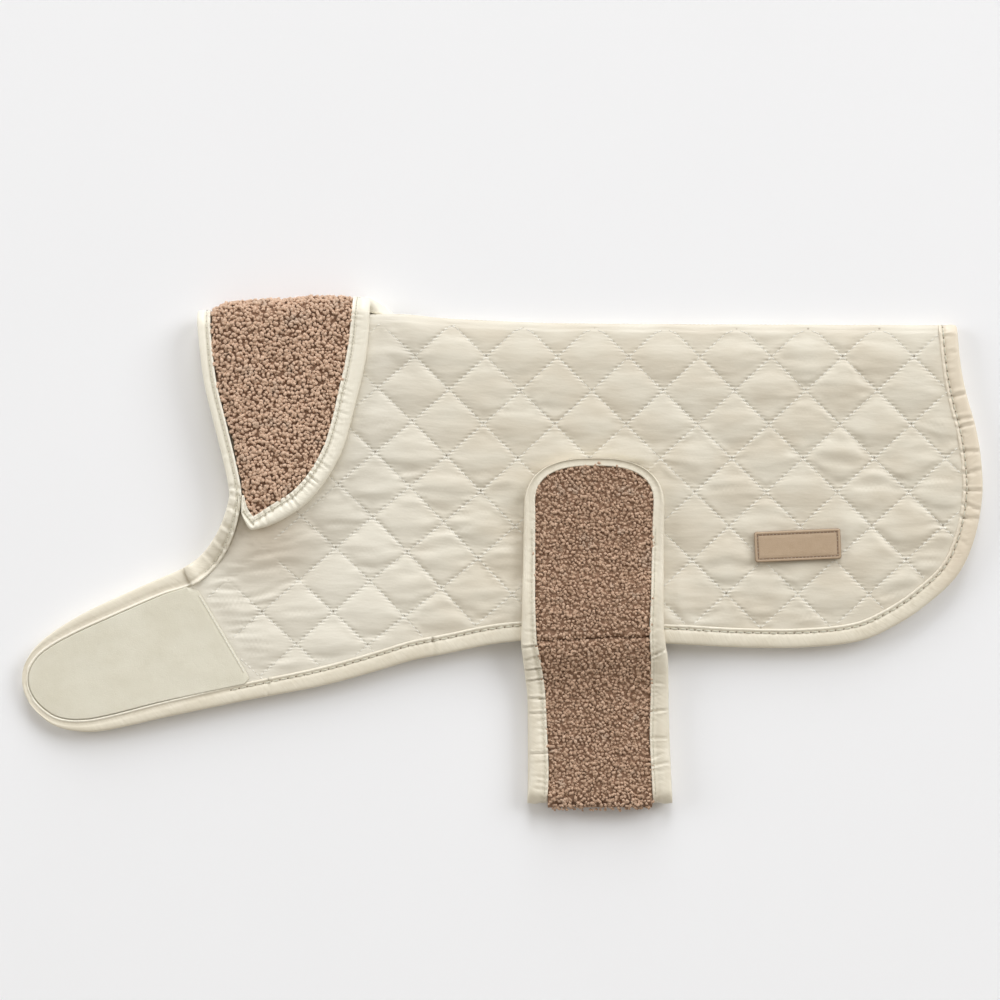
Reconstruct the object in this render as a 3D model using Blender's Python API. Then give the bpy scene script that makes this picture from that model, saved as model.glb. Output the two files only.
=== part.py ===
"""Dog winter coat, folded in half along its back and laid flat.

The coat is drafted as a maker would draft it. Every piece has a flat pattern, and a fold says where the
pattern lies: `along` runs from the neck to the tail, `run` is the distance over the cloth from the fold
of the back (positive on the near half, negative on the far half), and `out` is the distance outward from
the middle of the folded layers. Sizes are in millimetres until a vertex is written.
"""
import math

import bmesh
import bpy
import numpy as np
from mathutils.geometry import delaunay_2d_cdt

MM = 0.001
SEAM_GAP = 0.3                 # between pieces that meet
RIM_CLEAR = 3.0                # a face's own points stay this far inside its outline
OUTLINE_STEP = 10.0            # spacing of the points along a bound edge
MERGE_DISTANCE = 1e-4
SHARP_ANGLE = math.radians(50)
QUARTER_TURN = math.pi / 2

# Body: two padded, fleece-lined layers folded at the back.
BODY_MIDDLE = 5.65             # height of the plane between the layers
BODY_FOLD_RADIUS = 6.0
LAYER_GAP = 0.15               # from the middle plane to the lining of either half
BIGHT_GAP = 1.05               # how much further the lining stands off at the fold
BIGHT_REACH = 10.0
FAR_FACE = BODY_MIDDLE         # the far half lies flat on the table
SEAM_FACE = 4.2                # outer face of the near half along a quilting seam
CREST_FACE = 4.6
EDGE_FACE_NEAR = 4.6           # outer face of a bound edge
EDGE_FACE_CREST = 5.6
EDGE_FACE_FAR = 5.45

# Quilting: a lattice of diamonds on the near half and over the fold.
PUFF_HEIGHT = 3.0
PUFF_HEIGHT_CREST = 0.8
PUFF_SHARPNESS = 2.6
PUFF_EDGE_FADE = 12.0
QUILT_ALONG = 41.35            # diagonal of a diamond along the back
QUILT_DOWN = 39.3              # diagonal across it
QUILT_ORIGIN = (207.9, 20.3)   # one crossing of the seams: along, down
QUILT_SLANT = 0.04
QUILT_SQUEEZE = 0.945          # the rows close up over the lifted neck end
QUILT_SQUEEZE_ENDS = (82.0, 186.0)
QUILT_SQUEEZE_DOWN = 10.4
QUILT_STEPS = 4                # points from seam to seam
QUILT_REACH = 16               # seams counted each way from the origin
QUILT_ROUNDS = 5               # of trial and correction, to find a seam's place
QUILT_BOX = ((-110.0, 13.4), (460.0, 260.0))   # part of the pattern that takes quilting points

# Spacing of the points on the body's plain faces and round its fold.
PLAIN_BOX = ((-110.0, 12.0), (460.0, 250.0))
PLAIN_STEP = 11.0
PLAIN_THINNING = 4
PLAIN_CLOSE = 24.0             # all points stay this near the collar's edge
SLOPE_TRACE = 0.05
ROLL_ENDS = (2.0, 440.0)       # along
NEAR_TURNS = (0, 22.5, 45, 67.5, 90)
FAR_TURNS = (-90, -60, -30)
LINING_TURNS = (-90, -45, 0, 45, 90)

# Collar: a fleece fold that encloses the body at the neck.
COLLAR_MIDDLE = 11.5
COLLAR_INNER = 5.8
COLLAR_OUTER = 11.5
COLLAR_SEAM_FACE = 9.3         # thinner where it is sewn in at the neck
COLLAR_EDGE_FACE = 10.6
COLLAR_TAPER = 9.0
COLLAR_BINDING_FACE = 10.4
COLLAR_SEAM_GAP = 0.4
COLLAR_STEP = 9.0              # spacing of the points along its outline
COLLAR_TURNS = range(-90, 91, 18)
COLLAR_ROWS = range(11, 111, 11)
COLLAR_COLUMNS = range(10, 95, 9)
BINDING_CUTS = (0.2, 0.2)      # taken off the ends of its binding
COLLAR_LIFT = 6.0              # the body is raised this far over the collar's far half
LIFT_REACH = 35.0
NECK_BINDING_RISE = 4.6        # the neck binding takes in the collar's edge too
CORNER_SLIDE = 15.0            # the far half's corner shows past the near half's
CORNER_RUN = 13.0
CORNER_REACH = 9.0
CORNER_ENDS = (60.0, 98.0)     # along: the slide sets in between these
CORNER_WIDENING = 7.0          # of its binding

# Belly strap.
STRAP_TIP_LENGTH = 30.0
STRAP_TIP_POWER = 2.6
STRAP_FOLD_RADIUS = 1.2
STRAP_BINDING_DROP = 0.6
STRAP_BINDING_FLOOR = 0.25
ROUTE_STEP = 2.0               # spacing of the points along its route
STRAP_STEP = 12.0              # spacing of the points along its sides
STRAP_FOLD_POINTS = 7
STRAP_TIP_POINTS = 16
STRAP_COLUMNS = (-15.0, 0.0, 15.0)
ROOT_RISE = 3.3                # the near hem is raised over the sewn-in root
ROOT_RISE_REACH = 22.0
ROOT_ENDS = (162.0, 200.0)     # down
ROOT_MARGIN = 3.0

# Flat additions on the near half.
PANEL_FACES = (4.5, 5.5)
PANEL_INSET = 0.5
PANEL_BOX = ((-100.0, 150.0), (40.0, 250.0))
PANEL_STEP = 20.0
PANEL_CLEAR = 6.0
LABEL_FACES = (6.1, 7.6)
LABEL_SIZE = (50.0, 17.8)
LABEL_CENTRE = (347.0, 129.6)
LABEL_TILT = math.radians(2.6)
LABEL_CORNER = 1.6

# Crest of the fold: along, down.
BODY_CREST = (
    (-10.0, -2.8),
    (60.0, -3.6),
    (117.0, -5.0),
    (140.0, -3.0),
    (165.0, -1.7),
    (209.0, 0.0),
    (460.0, 1.3),
)
COLLAR_CREST = (
    (5.0, -9.2),
    (28.9, -12.6),
    (51.0, -14.0),
    (80.6, -15.9),
    (91.0, -15.5),
    (101.0, -13.8),
    (118.0, -9.8),
)

# Outer edge of the near half with its binding: along, down, width of the binding.
NECK_EDGE = (
    (-0.8, -2.8, 8.2),         # nape, on the fold
    (0.2, 9.0, 7.8),
    (3.7, 36.3, 7.4),
    (10.4, 63.8, 7.3),
    (17.0, 92.0, 7.3),
    (17.6, 103.0, 7.4),
    (11.6, 120.4, 7.6),
    (2.6, 133.6, 8.0),
    (-7.0, 141.5, 8.6),        # throat
)
TONGUE_EDGE = (
    (-24.9, 149.6, 8.8),
    (-59.7, 165.3, 8.4),
    (-74.8, 173.4, 7.4),
    (-88.7, 182.7, 5.8),
    (-97.4, 191.4, 4.4),
    (-102.4, 201.8, 3.4),      # tip
    (-102.7, 211.1, 3.2),
    (-99.8, 219.2, 3.4),
    (-94.0, 226.8, 3.9),
    (-85.3, 233.7, 4.9),
    (-73.7, 237.2, 6.0),
    (-57.4, 237.5, 7.6),
    (-16.8, 228.8, 8.7),
)
HEM_EDGE = (
    (28.4, 218.7, 8.8),
    (76.0, 208.7, 9.0),
    (107.1, 200.1, 9.0),
    (139.7, 193.1, 9.0),
    (186.2, 184.7, 9.2),
    (232.6, 185.0, 9.2),
    (272.6, 186.1, 9.2),
    (311.5, 187.9, 9.2),
    (350.3, 186.6, 9.0),
)
TAIL_EDGE = (
    (383.4, 183.0, 9.0),
    (403.5, 175.0, 9.0),
    (421.5, 164.5, 9.0),
    (440.0, 147.0, 9.2),
    (449.5, 127.0, 9.4),
    (454.4, 101.8, 9.6),
    (453.8, 80.0, 9.8),
    (450.4, 60.0, 9.6),
    (445.8, 43.8, 9.2),
    (442.0, 25.0, 8.8),
    (440.0, 1.2, 8.8),         # tail end, on the fold
)

# Seam of the collar at the neck, and its free edge with the binding, near half.
COLLAR_SEAM = (
    (7.8, -9.4),
    (7.9, 8.1),
    (8.9, 22.9),
    (11.4, 37.7),
    (15.2, 52.5),
    (20.4, 71.0),
    (24.0, 88.0),
    (25.6, 99.0),
)
COLLAR_EDGE = (                # along, down, width of the binding
    (25.6, 100.6, 2.2),        # at the neck seam
    (25.0, 111.0, 4.2),
    (27.6, 117.6, 6.0),
    (33.2, 120.6, 7.6),        # tip
    (40.0, 119.9, 10.0),
    (51.0, 114.3, 11.0),
    (62.1, 106.0, 11.0),
    (73.3, 93.3, 11.0),
    (82.9, 76.3, 11.0),
    (88.2, 60.0, 11.0),
    (91.9, 45.2, 11.2),
    (96.6, 25.0, 11.2),
    (98.8, 7.0, 10.8),
    (99.6, -13.8, 10.0),       # on the fold
)
FAR_CORNER = ((112.0, -12.0), (114.6, 0.0), (106.0, 9.0))

# Belly strap, on its smooth face from the sewn-in root to the tip:
# down, height, centre, half width, binding width, thickness.
STRAP_REAR = (
    (166.0, 8.8, 229.5, 41.0, 9.0, 3.0),
    (186.0, 8.8, 229.5, 41.0, 9.5, 3.0),
    (197.0, 7.1, 230.3, 41.2, 10.4, 4.4),
    (209.0, 5.5, 231.3, 41.0, 10.4, 5.4),
    (240.0, 5.4, 232.0, 41.2, 10.6, 5.4),
    (268.0, 5.3, 232.6, 41.8, 11.4, 5.3),
)
STRAP_FOLD = (277.6, 6.4, 232.6, 42.1, 11.5, 5.2)
STRAP_FRONT = (
    (262.0, 7.0, 232.6, 41.0, 11.2, 5.4),
    (240.0, 6.3, 231.7, 40.4, 10.7, 5.4),
    (216.0, 6.5, 231.4, 41.0, 10.5, 5.4),
    (204.0, 8.5, 230.6, 41.6, 10.4, 5.4),
    (194.0, 12.0, 229.8, 42.0, 10.0, 5.4),
    (186.0, 14.2, 228.6, 41.8, 9.2, 5.4),
    (176.0, 14.9, 228.2, 41.2, 8.4, 5.4),
    (160.0, 14.8, 228.3, 41.0, 7.6, 5.4),
    (142.0, 12.4, 228.6, 40.8, 7.2, 5.4),
    (125.0, 11.5, 228.8, 40.7, 6.9, 5.4),
    (109.0, 11.4, 229.1, 40.6, 6.5, 5.4),
    (79.2, 11.4, 229.1, 40.6, 4.4, 5.4),
)

# Where the quilting is pressed down: what lies on it, the share left, and the reach of the change.
PRESSED = {
    "collar": (0.35, 14.0),
    "strap": (0.4, 10.0),
    "label": (0.45, 8.0),
    "panel": (0.0, 14.0),
    "throat": (0.3, 22.0),
}
STRAP_PRESS_ENDS = (84.0, 200.0)
THROAT_CENTRE = (40.0, 134.0)
THROAT_RADIUS = 14.0
PANEL_END = (                  # the chest panel's edge across the root of the tongue
    (29.3, 206.4),
    (16.4, 184.2),
    (2.9, 161.2),
)

MATERIALS = {                  # base colour, roughness, metallic
    "quilted nylon": ((0.76, 0.70, 0.59), 0.42, 0.0),
    "satin binding": ((0.80, 0.74, 0.62), 0.35, 0.0),
    "teddy fleece": ((0.43, 0.27, 0.20), 0.95, 0.0),
    "hook and loop": ((0.71, 0.67, 0.55), 0.80, 0.0),
    "leatherette": ((0.56, 0.38, 0.24), 0.50, 0.0),
}

# A rounded bar, as shares of half the width and half the height.
BAR_SECTION = ((-1.0, 0.0), (-0.8, 0.8), (0.0, 1.0), (0.8, 0.8),
               (1.0, 0.0), (0.8, -0.8), (0.0, -1.0), (-0.8, -0.8))


# Curves and distances in a flat pattern.

def column(rows, index):
    return np.array([row[index] for row in rows])


def smooth(value):
    value = np.clip(value, 0.0, 1.0)
    return value * value * (3.0 - 2.0 * value)


def curve_through(rows, step=OUTLINE_STEP, closed=False):
    """A smooth curve through every row. Returns its points and the index of each row's point."""
    rows = np.asarray(rows, float)
    count = len(rows)
    ahead = np.roll(rows, -1, 0) if closed else np.vstack([rows[1:], 2 * rows[-1] - rows[-2]])
    behind = np.roll(rows, 1, 0) if closed else np.vstack([2 * rows[0] - rows[1], rows[:-1]])
    chord_ahead = np.linalg.norm((ahead - rows)[:, :2], axis=1)
    chord_behind = np.linalg.norm((rows - behind)[:, :2], axis=1)
    slope = (ahead - behind) / (chord_ahead + chord_behind)[:, None]
    points = []
    starts = []
    for index in range(count if closed else count - 1):
        following = (index + 1) % count
        chord = chord_ahead[index]
        pieces = max(1, math.ceil(chord / step))
        starts.append(len(points))
        for piece in range(pieces):
            t = piece / pieces
            level = (2 * t**3 - 3 * t**2 + 1) * rows[index] + (3 * t**2 - 2 * t**3) * rows[following]
            leaning = (t**3 - 2 * t**2 + t) * slope[index] + (t**3 - t**2) * slope[following]
            points.append(level + chord * leaning)
    if not closed:
        starts.append(len(points))
        points.append(rows[-1])
    return np.array(points), starts


def inward_normals(points, closed=False):
    """Unit normals to the right of the direction of travel."""
    if closed:
        travel = np.roll(points, -1, 0) - np.roll(points, 1, 0)
    else:
        travel = np.gradient(points, axis=0)
    normals = np.column_stack([travel[:, 1], -travel[:, 0]])
    return normals / np.linalg.norm(normals, axis=1)[:, None]


def distance_to_line(points, line, closed=True):
    """Distance of each point from a broken line."""
    ends = np.roll(line, -1, 0) if closed else line[1:]
    starts = line if closed else line[:-1]
    best = np.full(len(points), np.inf)
    for start, end in zip(starts, ends):
        edge = end - start
        share = np.clip((points - start) @ edge / (edge @ edge), 0.0, 1.0)
        best = np.minimum(best, np.linalg.norm(points - start - share[:, None] * edge, axis=1))
    return best


def is_inside(points, outline):
    inside = np.zeros(len(points), bool)
    for start, end in zip(outline, np.roll(outline, -1, 0)):
        if start[1] == end[1]:
            continue
        crosses = (start[1] > points[:, 1]) != (end[1] > points[:, 1])
        reach = start[0] + (points[:, 1] - start[1]) * (end[0] - start[0]) / (end[1] - start[1])
        inside ^= crosses & (points[:, 0] < reach)
    return inside


def distance_outside(points, outline):
    return np.where(is_inside(points, outline), 0.0, distance_to_line(points, outline))


def well_inside(points, outline, margin):
    points = points[is_inside(points, outline)]
    return points[distance_to_line(points, outline) > margin]


def grid_points(low, high, step):
    across = np.arange(low[0], high[0] + step, step)
    up = np.arange(low[1], high[1] + step, step)
    return np.array([(x, y) for x in across for y in up])


# Where a flat pattern lies.

class Fold:
    """Two layers folded at a crest that runs along the coat."""

    def __init__(self, crest_rows, radius, middle):
        self.crest_rows = crest_rows
        self.radius = radius
        self.middle = middle

    def crest(self, along):
        return np.interp(along, column(self.crest_rows, 0), column(self.crest_rows, 1))

    def run_at(self, along, down):
        """Distance over the cloth from the crest to a place on the near half."""
        below = max(down - self.crest(along), 0.0)
        if below < self.radius:
            return self.radius * math.acos(1.0 - below / self.radius)
        return below + self.radius * (QUARTER_TURN - 1.0)

    def unrolled(self, flat):
        """`down` as if the cloth lay flat up to the crest."""
        return np.abs(flat[:, 1]) + self.crest(flat[:, 0]) - self.radius * (QUARTER_TURN - 1.0)

    def extra_height(self, along, down):
        return np.zeros(len(along))

    def extra_out(self, flat, down):
        return np.zeros(len(flat))

    def slide(self, flat):
        return np.zeros(len(flat))

    def place(self, flat, out):
        along = flat[:, 0] + self.slide(flat)
        run = flat[:, 1]
        turn = np.clip(run / self.radius, -QUARTER_TURN, QUARTER_TURN)
        straight = np.maximum(np.abs(run) - self.radius * QUARTER_TURN, 0.0)
        centre = self.crest(along) + self.radius
        nominal = centre + straight - self.radius * np.cos(turn)
        out = out + self.extra_out(flat, nominal)
        height = self.middle + self.extra_height(along, nominal) + out * np.sin(turn)
        down = centre + straight - out * np.cos(turn)
        return np.column_stack([along, -down, np.maximum(height, 0.0)])


class BodyFold(Fold):
    """The body's fold, raised over the collar's far half and, on the near half, over the strap's root."""

    def extra_height(self, along, down):
        outside = distance_outside(np.column_stack([along, down]), COLLAR_FOOTPRINT)
        return COLLAR_LIFT * (1.0 - smooth(outside / LIFT_REACH))

    def extra_out(self, flat, down):
        outside = distance_outside(np.column_stack([flat[:, 0], down]), ROOT_FOOTPRINT)
        return np.where(flat[:, 1] > 0, ROOT_RISE * (1.0 - smooth(outside / ROOT_RISE_REACH)), 0.0)


class CollarFold(Fold):
    """The collar's fold. The free corner of its far half is slid along, past the near half's."""

    def slide(self, flat):
        start, end = CORNER_ENDS
        return CORNER_SLIDE * corner_share(flat[:, 1]) * smooth((flat[:, 0] - start) / (end - start))


def corner_share(run):
    """1 at the far half's free corner, less round it."""
    return np.where(run < 0, np.exp(-((run + CORNER_RUN) / CORNER_REACH) ** 2), 0.0)


def across_fold(run, radius, far, crest, near):
    """A value that changes round the fold: far half, crest, near half."""
    lean = np.sin(np.clip(run / radius, -QUARTER_TURN, QUARTER_TURN))
    return np.where(lean < 0, crest + (crest - far) * lean, crest + (near - crest) * lean)


class StrapRoute:
    """The strap's smooth face, from its root, round the lower fold, to its tip."""

    def __init__(self):
        fold_down, fold_height, *fold_rest = STRAP_FOLD
        rows = list(STRAP_REAR)
        for angle in range(-90, 91, 30):
            turn = math.radians(angle)
            rows.append((fold_down + STRAP_FOLD_RADIUS * math.cos(turn),
                         fold_height + STRAP_FOLD_RADIUS * math.sin(turn), *fold_rest))
        rows += STRAP_FRONT
        points, _ = curve_through(rows, step=ROUTE_STEP)
        self.line = points[:, :2]
        self.sizes = points[:, 2:]
        self.length = np.concatenate([[0.0], np.cumsum(np.linalg.norm(np.diff(self.line, axis=0), axis=1))])
        self.normal = inward_normals(self.line)
        self.fold_start = self.length[np.argmax(self.line[:, 0] > fold_down)]
        self.fold_end = self.length[len(self.line) - 1 - np.argmax(self.line[::-1, 0] > fold_down)]

    def size(self, run, index):
        return np.interp(run, self.length, self.sizes[:, index])

    def centre(self, run):
        return self.size(run, 0)

    def half_width(self, run):
        """Half the width, rounded off at the tip."""
        half = self.size(run, 1)
        share = np.clip((run - (self.length[-1] - STRAP_TIP_LENGTH)) / STRAP_TIP_LENGTH, 0.0, 1.0)
        return half * (1.0 - share**STRAP_TIP_POWER) ** (1.0 / STRAP_TIP_POWER)

    def thickness(self, run):
        return self.size(run, 3)

    def place(self, flat, out):
        run = flat[:, 1]
        down, height = (np.interp(run, self.length, self.line[:, axis]) for axis in (0, 1))
        toward, rise = (np.interp(run, self.length, self.normal[:, axis]) for axis in (0, 1))
        size = np.hypot(toward, rise)
        return np.column_stack([flat[:, 0], -(down + out * toward / size),
                                np.maximum(height + out * rise / size, 0.0)])


# Builders.

def new_object(name, material, mesh_builder):
    mesh = bmesh.new()
    mesh_builder(mesh)
    bmesh.ops.recalc_face_normals(mesh, faces=mesh.faces)
    data = bpy.data.meshes.new(name)
    mesh.to_mesh(data)
    mesh.free()
    data.shade_smooth()
    data.set_sharp_from_angle(angle=SHARP_ANGLE)
    data.materials.append(material)
    piece = bpy.data.objects.new(name, data)
    COAT.objects.link(piece)
    return piece


def add_points(mesh, points):
    return [mesh.verts.new(point * MM) for point in points]


def triangles_inside(outline, inner_points):
    corners = [tuple(point) for point in outline] + [tuple(point) for point in inner_points]
    loop = list(range(len(outline)))
    points, _, faces, *_ = delaunay_2d_cdt(corners, [], [loop], 1, MERGE_DISTANCE)
    return np.array([tuple(point) for point in points]), faces


def slab(name, material, ground, outline, outer_points, inner_points, outer, inner):
    """A closed solid between two faces over one flat outline."""

    def build(mesh):
        rims = []
        for extra, face, flipped in ((outer_points, outer, False), (inner_points, inner, True)):
            flat, faces = triangles_inside(outline, extra)
            verts = add_points(mesh, ground.place(flat, face(flat)))
            for corners in faces:
                order = reversed(corners) if flipped else corners
                mesh.faces.new([verts[corner] for corner in order])
            rims.append(verts[:len(outline)])
        outer_rim, inner_rim = rims
        for index, corner in enumerate(outer_rim):
            following = (index + 1) % len(outline)
            mesh.faces.new((corner, outer_rim[following], inner_rim[following], inner_rim[index]))

    return new_object(name, material, build)


def binding(name, material, ground, path, widths, normals, low, high):
    """A rounded bar along a bound edge, its outer side on the path."""

    def build(mesh):
        rings = []
        for across, up in BAR_SECTION:
            flat = path + normals * (widths * (1.0 + across) / 2.0)[:, None]
            bottom = low(path)
            out = bottom + (high(path) - bottom) * (1.0 + up) / 2.0
            rings.append(add_points(mesh, ground.place(flat, out)))
        sections = list(zip(*rings))
        mesh.faces.new(sections[0])
        mesh.faces.new(sections[-1])
        for section, following in zip(sections, sections[1:]):
            for index in range(len(section)):
                beside = (index + 1) % len(section)
                mesh.faces.new((section[index], section[beside], following[beside], following[index]))

    return new_object(name, material, build)


def shortened(points, start_cut, end_cut):
    """Moves the ends of a path inward along it."""
    points = points.copy()
    first = points[1] - points[0]
    last = points[-2] - points[-1]
    points[0] += first / np.linalg.norm(first) * start_cut
    points[-1] += last / np.linalg.norm(last) * end_cut
    return points


# Patterns.

def folded_loop(fold, near_rows):
    """The near half's edge and its mirror image, as one closed curve in the flat pattern."""
    near = [(along, fold.run_at(along, down), width) for along, down, width in near_rows]
    near[0] = (near[0][0], 0.0, near[0][2])
    near[-1] = (near[-1][0], 0.0, near[-1][2])
    far = [(along, -run, width) for along, run, width in near[-2:0:-1]]
    return near + far


def body_pattern():
    rows = folded_loop(BODY, NECK_EDGE + TONGUE_EDGE + HEM_EDGE + TAIL_EDGE)
    points, starts = curve_through(rows, closed=True)
    normals = inward_normals(points[:, :2], closed=True)
    near_throat = starts[len(NECK_EDGE) - 1]
    far_throat = starts[len(rows) - len(NECK_EDGE) + 1]
    return points[:, :2], points[:, 2], normals, near_throat, far_throat


def quilt_scale(along):
    share = smooth((along - QUILT_SQUEEZE_ENDS[0]) / (QUILT_SQUEEZE_ENDS[1] - QUILT_SQUEEZE_ENDS[0]))
    return QUILT_SQUEEZE + (1.0 - QUILT_SQUEEZE) * share


def quilt_position(flat):
    """Position on the lattice: a seam lies where either number is whole."""
    down = flat[:, 1] + BODY.crest(flat[:, 0]) - BODY.radius * (QUARTER_TURN - 1.0)
    across = (flat[:, 0] - QUILT_ORIGIN[0] + QUILT_SLANT * (down - QUILT_ORIGIN[1])) / QUILT_ALONG
    relaxed = (down - QUILT_SQUEEZE_DOWN) / quilt_scale(flat[:, 0]) + QUILT_SQUEEZE_DOWN
    fall = (relaxed - QUILT_ORIGIN[1]) / QUILT_DOWN
    return across + fall, across - fall


def quilt_point(first, second):
    """The flat pattern's point at a lattice position."""
    across = (first + second) / 2.0
    fall = (first - second) / 2.0
    along = QUILT_ORIGIN[0] + across * QUILT_ALONG
    down = 0.0
    for _ in range(QUILT_ROUNDS):
        relaxed = fall * QUILT_DOWN + QUILT_ORIGIN[1] - QUILT_SQUEEZE_DOWN
        down = QUILT_SQUEEZE_DOWN + relaxed * quilt_scale(along)
        along = QUILT_ORIGIN[0] + across * QUILT_ALONG - QUILT_SLANT * (down - QUILT_ORIGIN[1])
    return along, down - BODY.crest(along) + BODY.radius * (QUARTER_TURN - 1.0)


def lattice_points():
    """Quilting points on the flat part of the near half."""
    (least_along, least_run), (most_along, most_run) = QUILT_BOX
    reach = QUILT_REACH * QUILT_STEPS
    found = []
    for first in range(-reach, reach):
        for second in range(-reach, reach):
            along, run = quilt_point(first / QUILT_STEPS, second / QUILT_STEPS)
            if least_along < along < most_along and least_run < run < most_run:
                found.append((along, run))
    return np.array(found)


def roll_points(turns, step):
    """Rows of points round the fold."""
    start, end = ROLL_ENDS
    return np.array([(along, BODY.radius * math.radians(turn))
                     for turn in turns for along in np.arange(start, end, step)])


def plain_points(side):
    """Points of a plain face: close together where the layers rise, wide apart elsewhere."""
    fine = grid_points(*PLAIN_BOX, PLAIN_STEP)
    down = BODY.unrolled(fine)
    lift = BODY.extra_height(fine[:, 0], down)
    rise = BODY.extra_out(fine, down) if side > 0 else np.zeros(len(fine))
    steps = np.round((fine - fine[0]) / PLAIN_STEP).astype(int)
    sparse = (steps % PLAIN_THINNING == 0).all(axis=1)
    close = distance_to_line(np.column_stack([fine[:, 0], down]), COLLAR_FOOTPRINT) < PLAIN_CLOSE
    sloping = (lift > SLOPE_TRACE) & (lift < COLLAR_LIFT - SLOPE_TRACE)
    keep = sparse | close | sloping | (rise > SLOPE_TRACE)
    return fine[keep] * (1, side)


def rounded_rectangle(centre, size, tilt, corner, points_a_corner=4):
    outline = []
    for index, (right, low) in enumerate(((1, 1), (-1, 1), (-1, -1), (1, -1))):
        for step in range(points_a_corner + 1):
            angle = (index + step / points_a_corner) * QUARTER_TURN
            x = right * (size[0] / 2 - corner) + corner * math.cos(angle)
            y = low * (size[1] / 2 - corner) + corner * math.sin(angle)
            outline.append((centre[0] + x * math.cos(tilt) + y * math.sin(tilt),
                            centre[1] - x * math.sin(tilt) + y * math.cos(tilt)))
    return np.array(outline)


# Footprints that shape the body: along, down.

def collar_footprint():
    edge, _ = curve_through(COLLAR_EDGE)
    return np.vstack([np.array(COLLAR_SEAM), edge[:-1, :2], np.array(FAR_CORNER[::-1]), edge[-1:, :2]])


def strap_footprint(top, bottom, margin):
    centre = STRAP_FRONT[-2][2]
    half = STRAP_FRONT[-2][3] + margin
    left = centre - half
    right = centre + half
    return np.array([(left, top), (right, top), (right, bottom), (left, bottom)])


def panel_outline():
    """The chest panel in the flat pattern: the tongue inside its binding, cut off at its root."""
    along = PANEL_END[0][0]
    run = BODY.run_at(*PANEL_END[0])
    first = NEAR_THROAT + 1
    lower = np.arange(len(BODY_PATH)) > first + len(TONGUE_EDGE)
    passed = lower & (SHELL_OUTLINE[:, 0] > along - RIM_CLEAR) & (BODY_PATH[:, 1] > run / 2)
    chosen = np.arange(first, np.argmax(passed))
    edge = SHELL_OUTLINE[chosen] + BODY_NORMALS[chosen] * PANEL_INSET
    end = [(along, BODY.run_at(along, down)) for along, down in PANEL_END]
    return np.vstack([edge, end])


def pressed_share(flat):
    """How much of the quilting's height is left at each point."""
    down = BODY.unrolled(flat)
    places = np.column_stack([flat[:, 0], down])
    outlines = {
        "collar": COLLAR_FOOTPRINT,
        "strap": strap_footprint(*STRAP_PRESS_ENDS, 0.0),
        "label": rounded_rectangle(LABEL_CENTRE, LABEL_SIZE, LABEL_TILT, LABEL_CORNER),
    }
    share = smooth(distance_to_line(flat, SHELL_OUTLINE) / PUFF_EDGE_FADE)
    outside = {name: distance_outside(places, outline) for name, outline in outlines.items()}
    outside["panel"] = distance_outside(flat, PANEL_OUTLINE)
    outside["throat"] = np.maximum(np.linalg.norm(places - THROAT_CENTRE, axis=1) - THROAT_RADIUS, 0.0)
    for name, distance in outside.items():
        left, reach = PRESSED[name]
        share *= left + (1.0 - left) * smooth(distance / reach)
    return share


def shell_outer(flat):
    first, second = quilt_position(flat)
    puff = np.ones(len(flat))
    for position in (first, second):
        puff *= 1.0 - np.abs(2.0 * (position % 1.0) - 1.0) ** PUFF_SHARPNESS
    height = across_fold(flat[:, 1], BODY.radius, 0.0, PUFF_HEIGHT_CREST, PUFF_HEIGHT)
    base = across_fold(flat[:, 1], BODY.radius, FAR_FACE, CREST_FACE, SEAM_FACE)
    return base + height * puff * pressed_share(flat)


def shell_inner(flat):
    return LAYER_GAP + BIGHT_GAP * np.exp(-(flat[:, 1] / BIGHT_REACH) ** 2)


def edge_low(flat):
    return shell_inner(flat) + LAYER_GAP


def edge_high(flat):
    return across_fold(flat[:, 1], BODY.radius, EDGE_FACE_FAR, EDGE_FACE_CREST, EDGE_FACE_NEAR)


def neck_high(flat):
    lift = BODY.extra_height(flat[:, 0], BODY.unrolled(flat))
    return edge_high(flat) + NECK_BINDING_RISE * lift / COLLAR_LIFT


# Pieces.

def make_shell():
    outer = np.vstack([
        lattice_points(),
        roll_points(NEAR_TURNS, QUILT_ALONG / QUILT_STEPS),
        roll_points(FAR_TURNS, 2 * QUILT_ALONG / QUILT_STEPS),
        plain_points(-1),
    ])
    inner = np.vstack([
        roll_points(LINING_TURNS, QUILT_ALONG),
        plain_points(-1),
        plain_points(1),
    ])
    return slab("quilted_shell", MATERIAL["quilted nylon"], BODY, SHELL_OUTLINE,
                well_inside(outer, SHELL_OUTLINE, RIM_CLEAR), well_inside(inner, SHELL_OUTLINE, RIM_CLEAR),
                shell_outer, shell_inner)


def make_body_bindings():
    indices = {
        "edge_binding": np.arange(NEAR_THROAT, FAR_THROAT + 1),
        "neck_binding": np.arange(FAR_THROAT, NEAR_THROAT + len(BODY_PATH) + 1) % len(BODY_PATH),
    }
    faces = {"edge_binding": edge_high, "neck_binding": neck_high}
    for name, chosen in indices.items():
        path = shortened(BODY_PATH[chosen], SEAM_GAP / 2, SEAM_GAP / 2)
        binding(name, MATERIAL["satin binding"], BODY, path, BODY_WIDTHS[chosen], BODY_NORMALS[chosen],
                edge_low, faces[name])


def collar_edge_pattern():
    near = [(along, COLLAR.run_at(along, down), width) for along, down, width in COLLAR_EDGE]
    near[-1] = (near[-1][0], 0.0, near[-1][2])
    far = [(along, -run, width) for along, run, width in near[-2::-1]]
    points, _ = curve_through(near + far, step=COLLAR_STEP)
    widths = points[:, 2] + CORNER_WIDENING * corner_share(points[:, 1])
    return points[:, :2], widths, inward_normals(points[:, :2])


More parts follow.
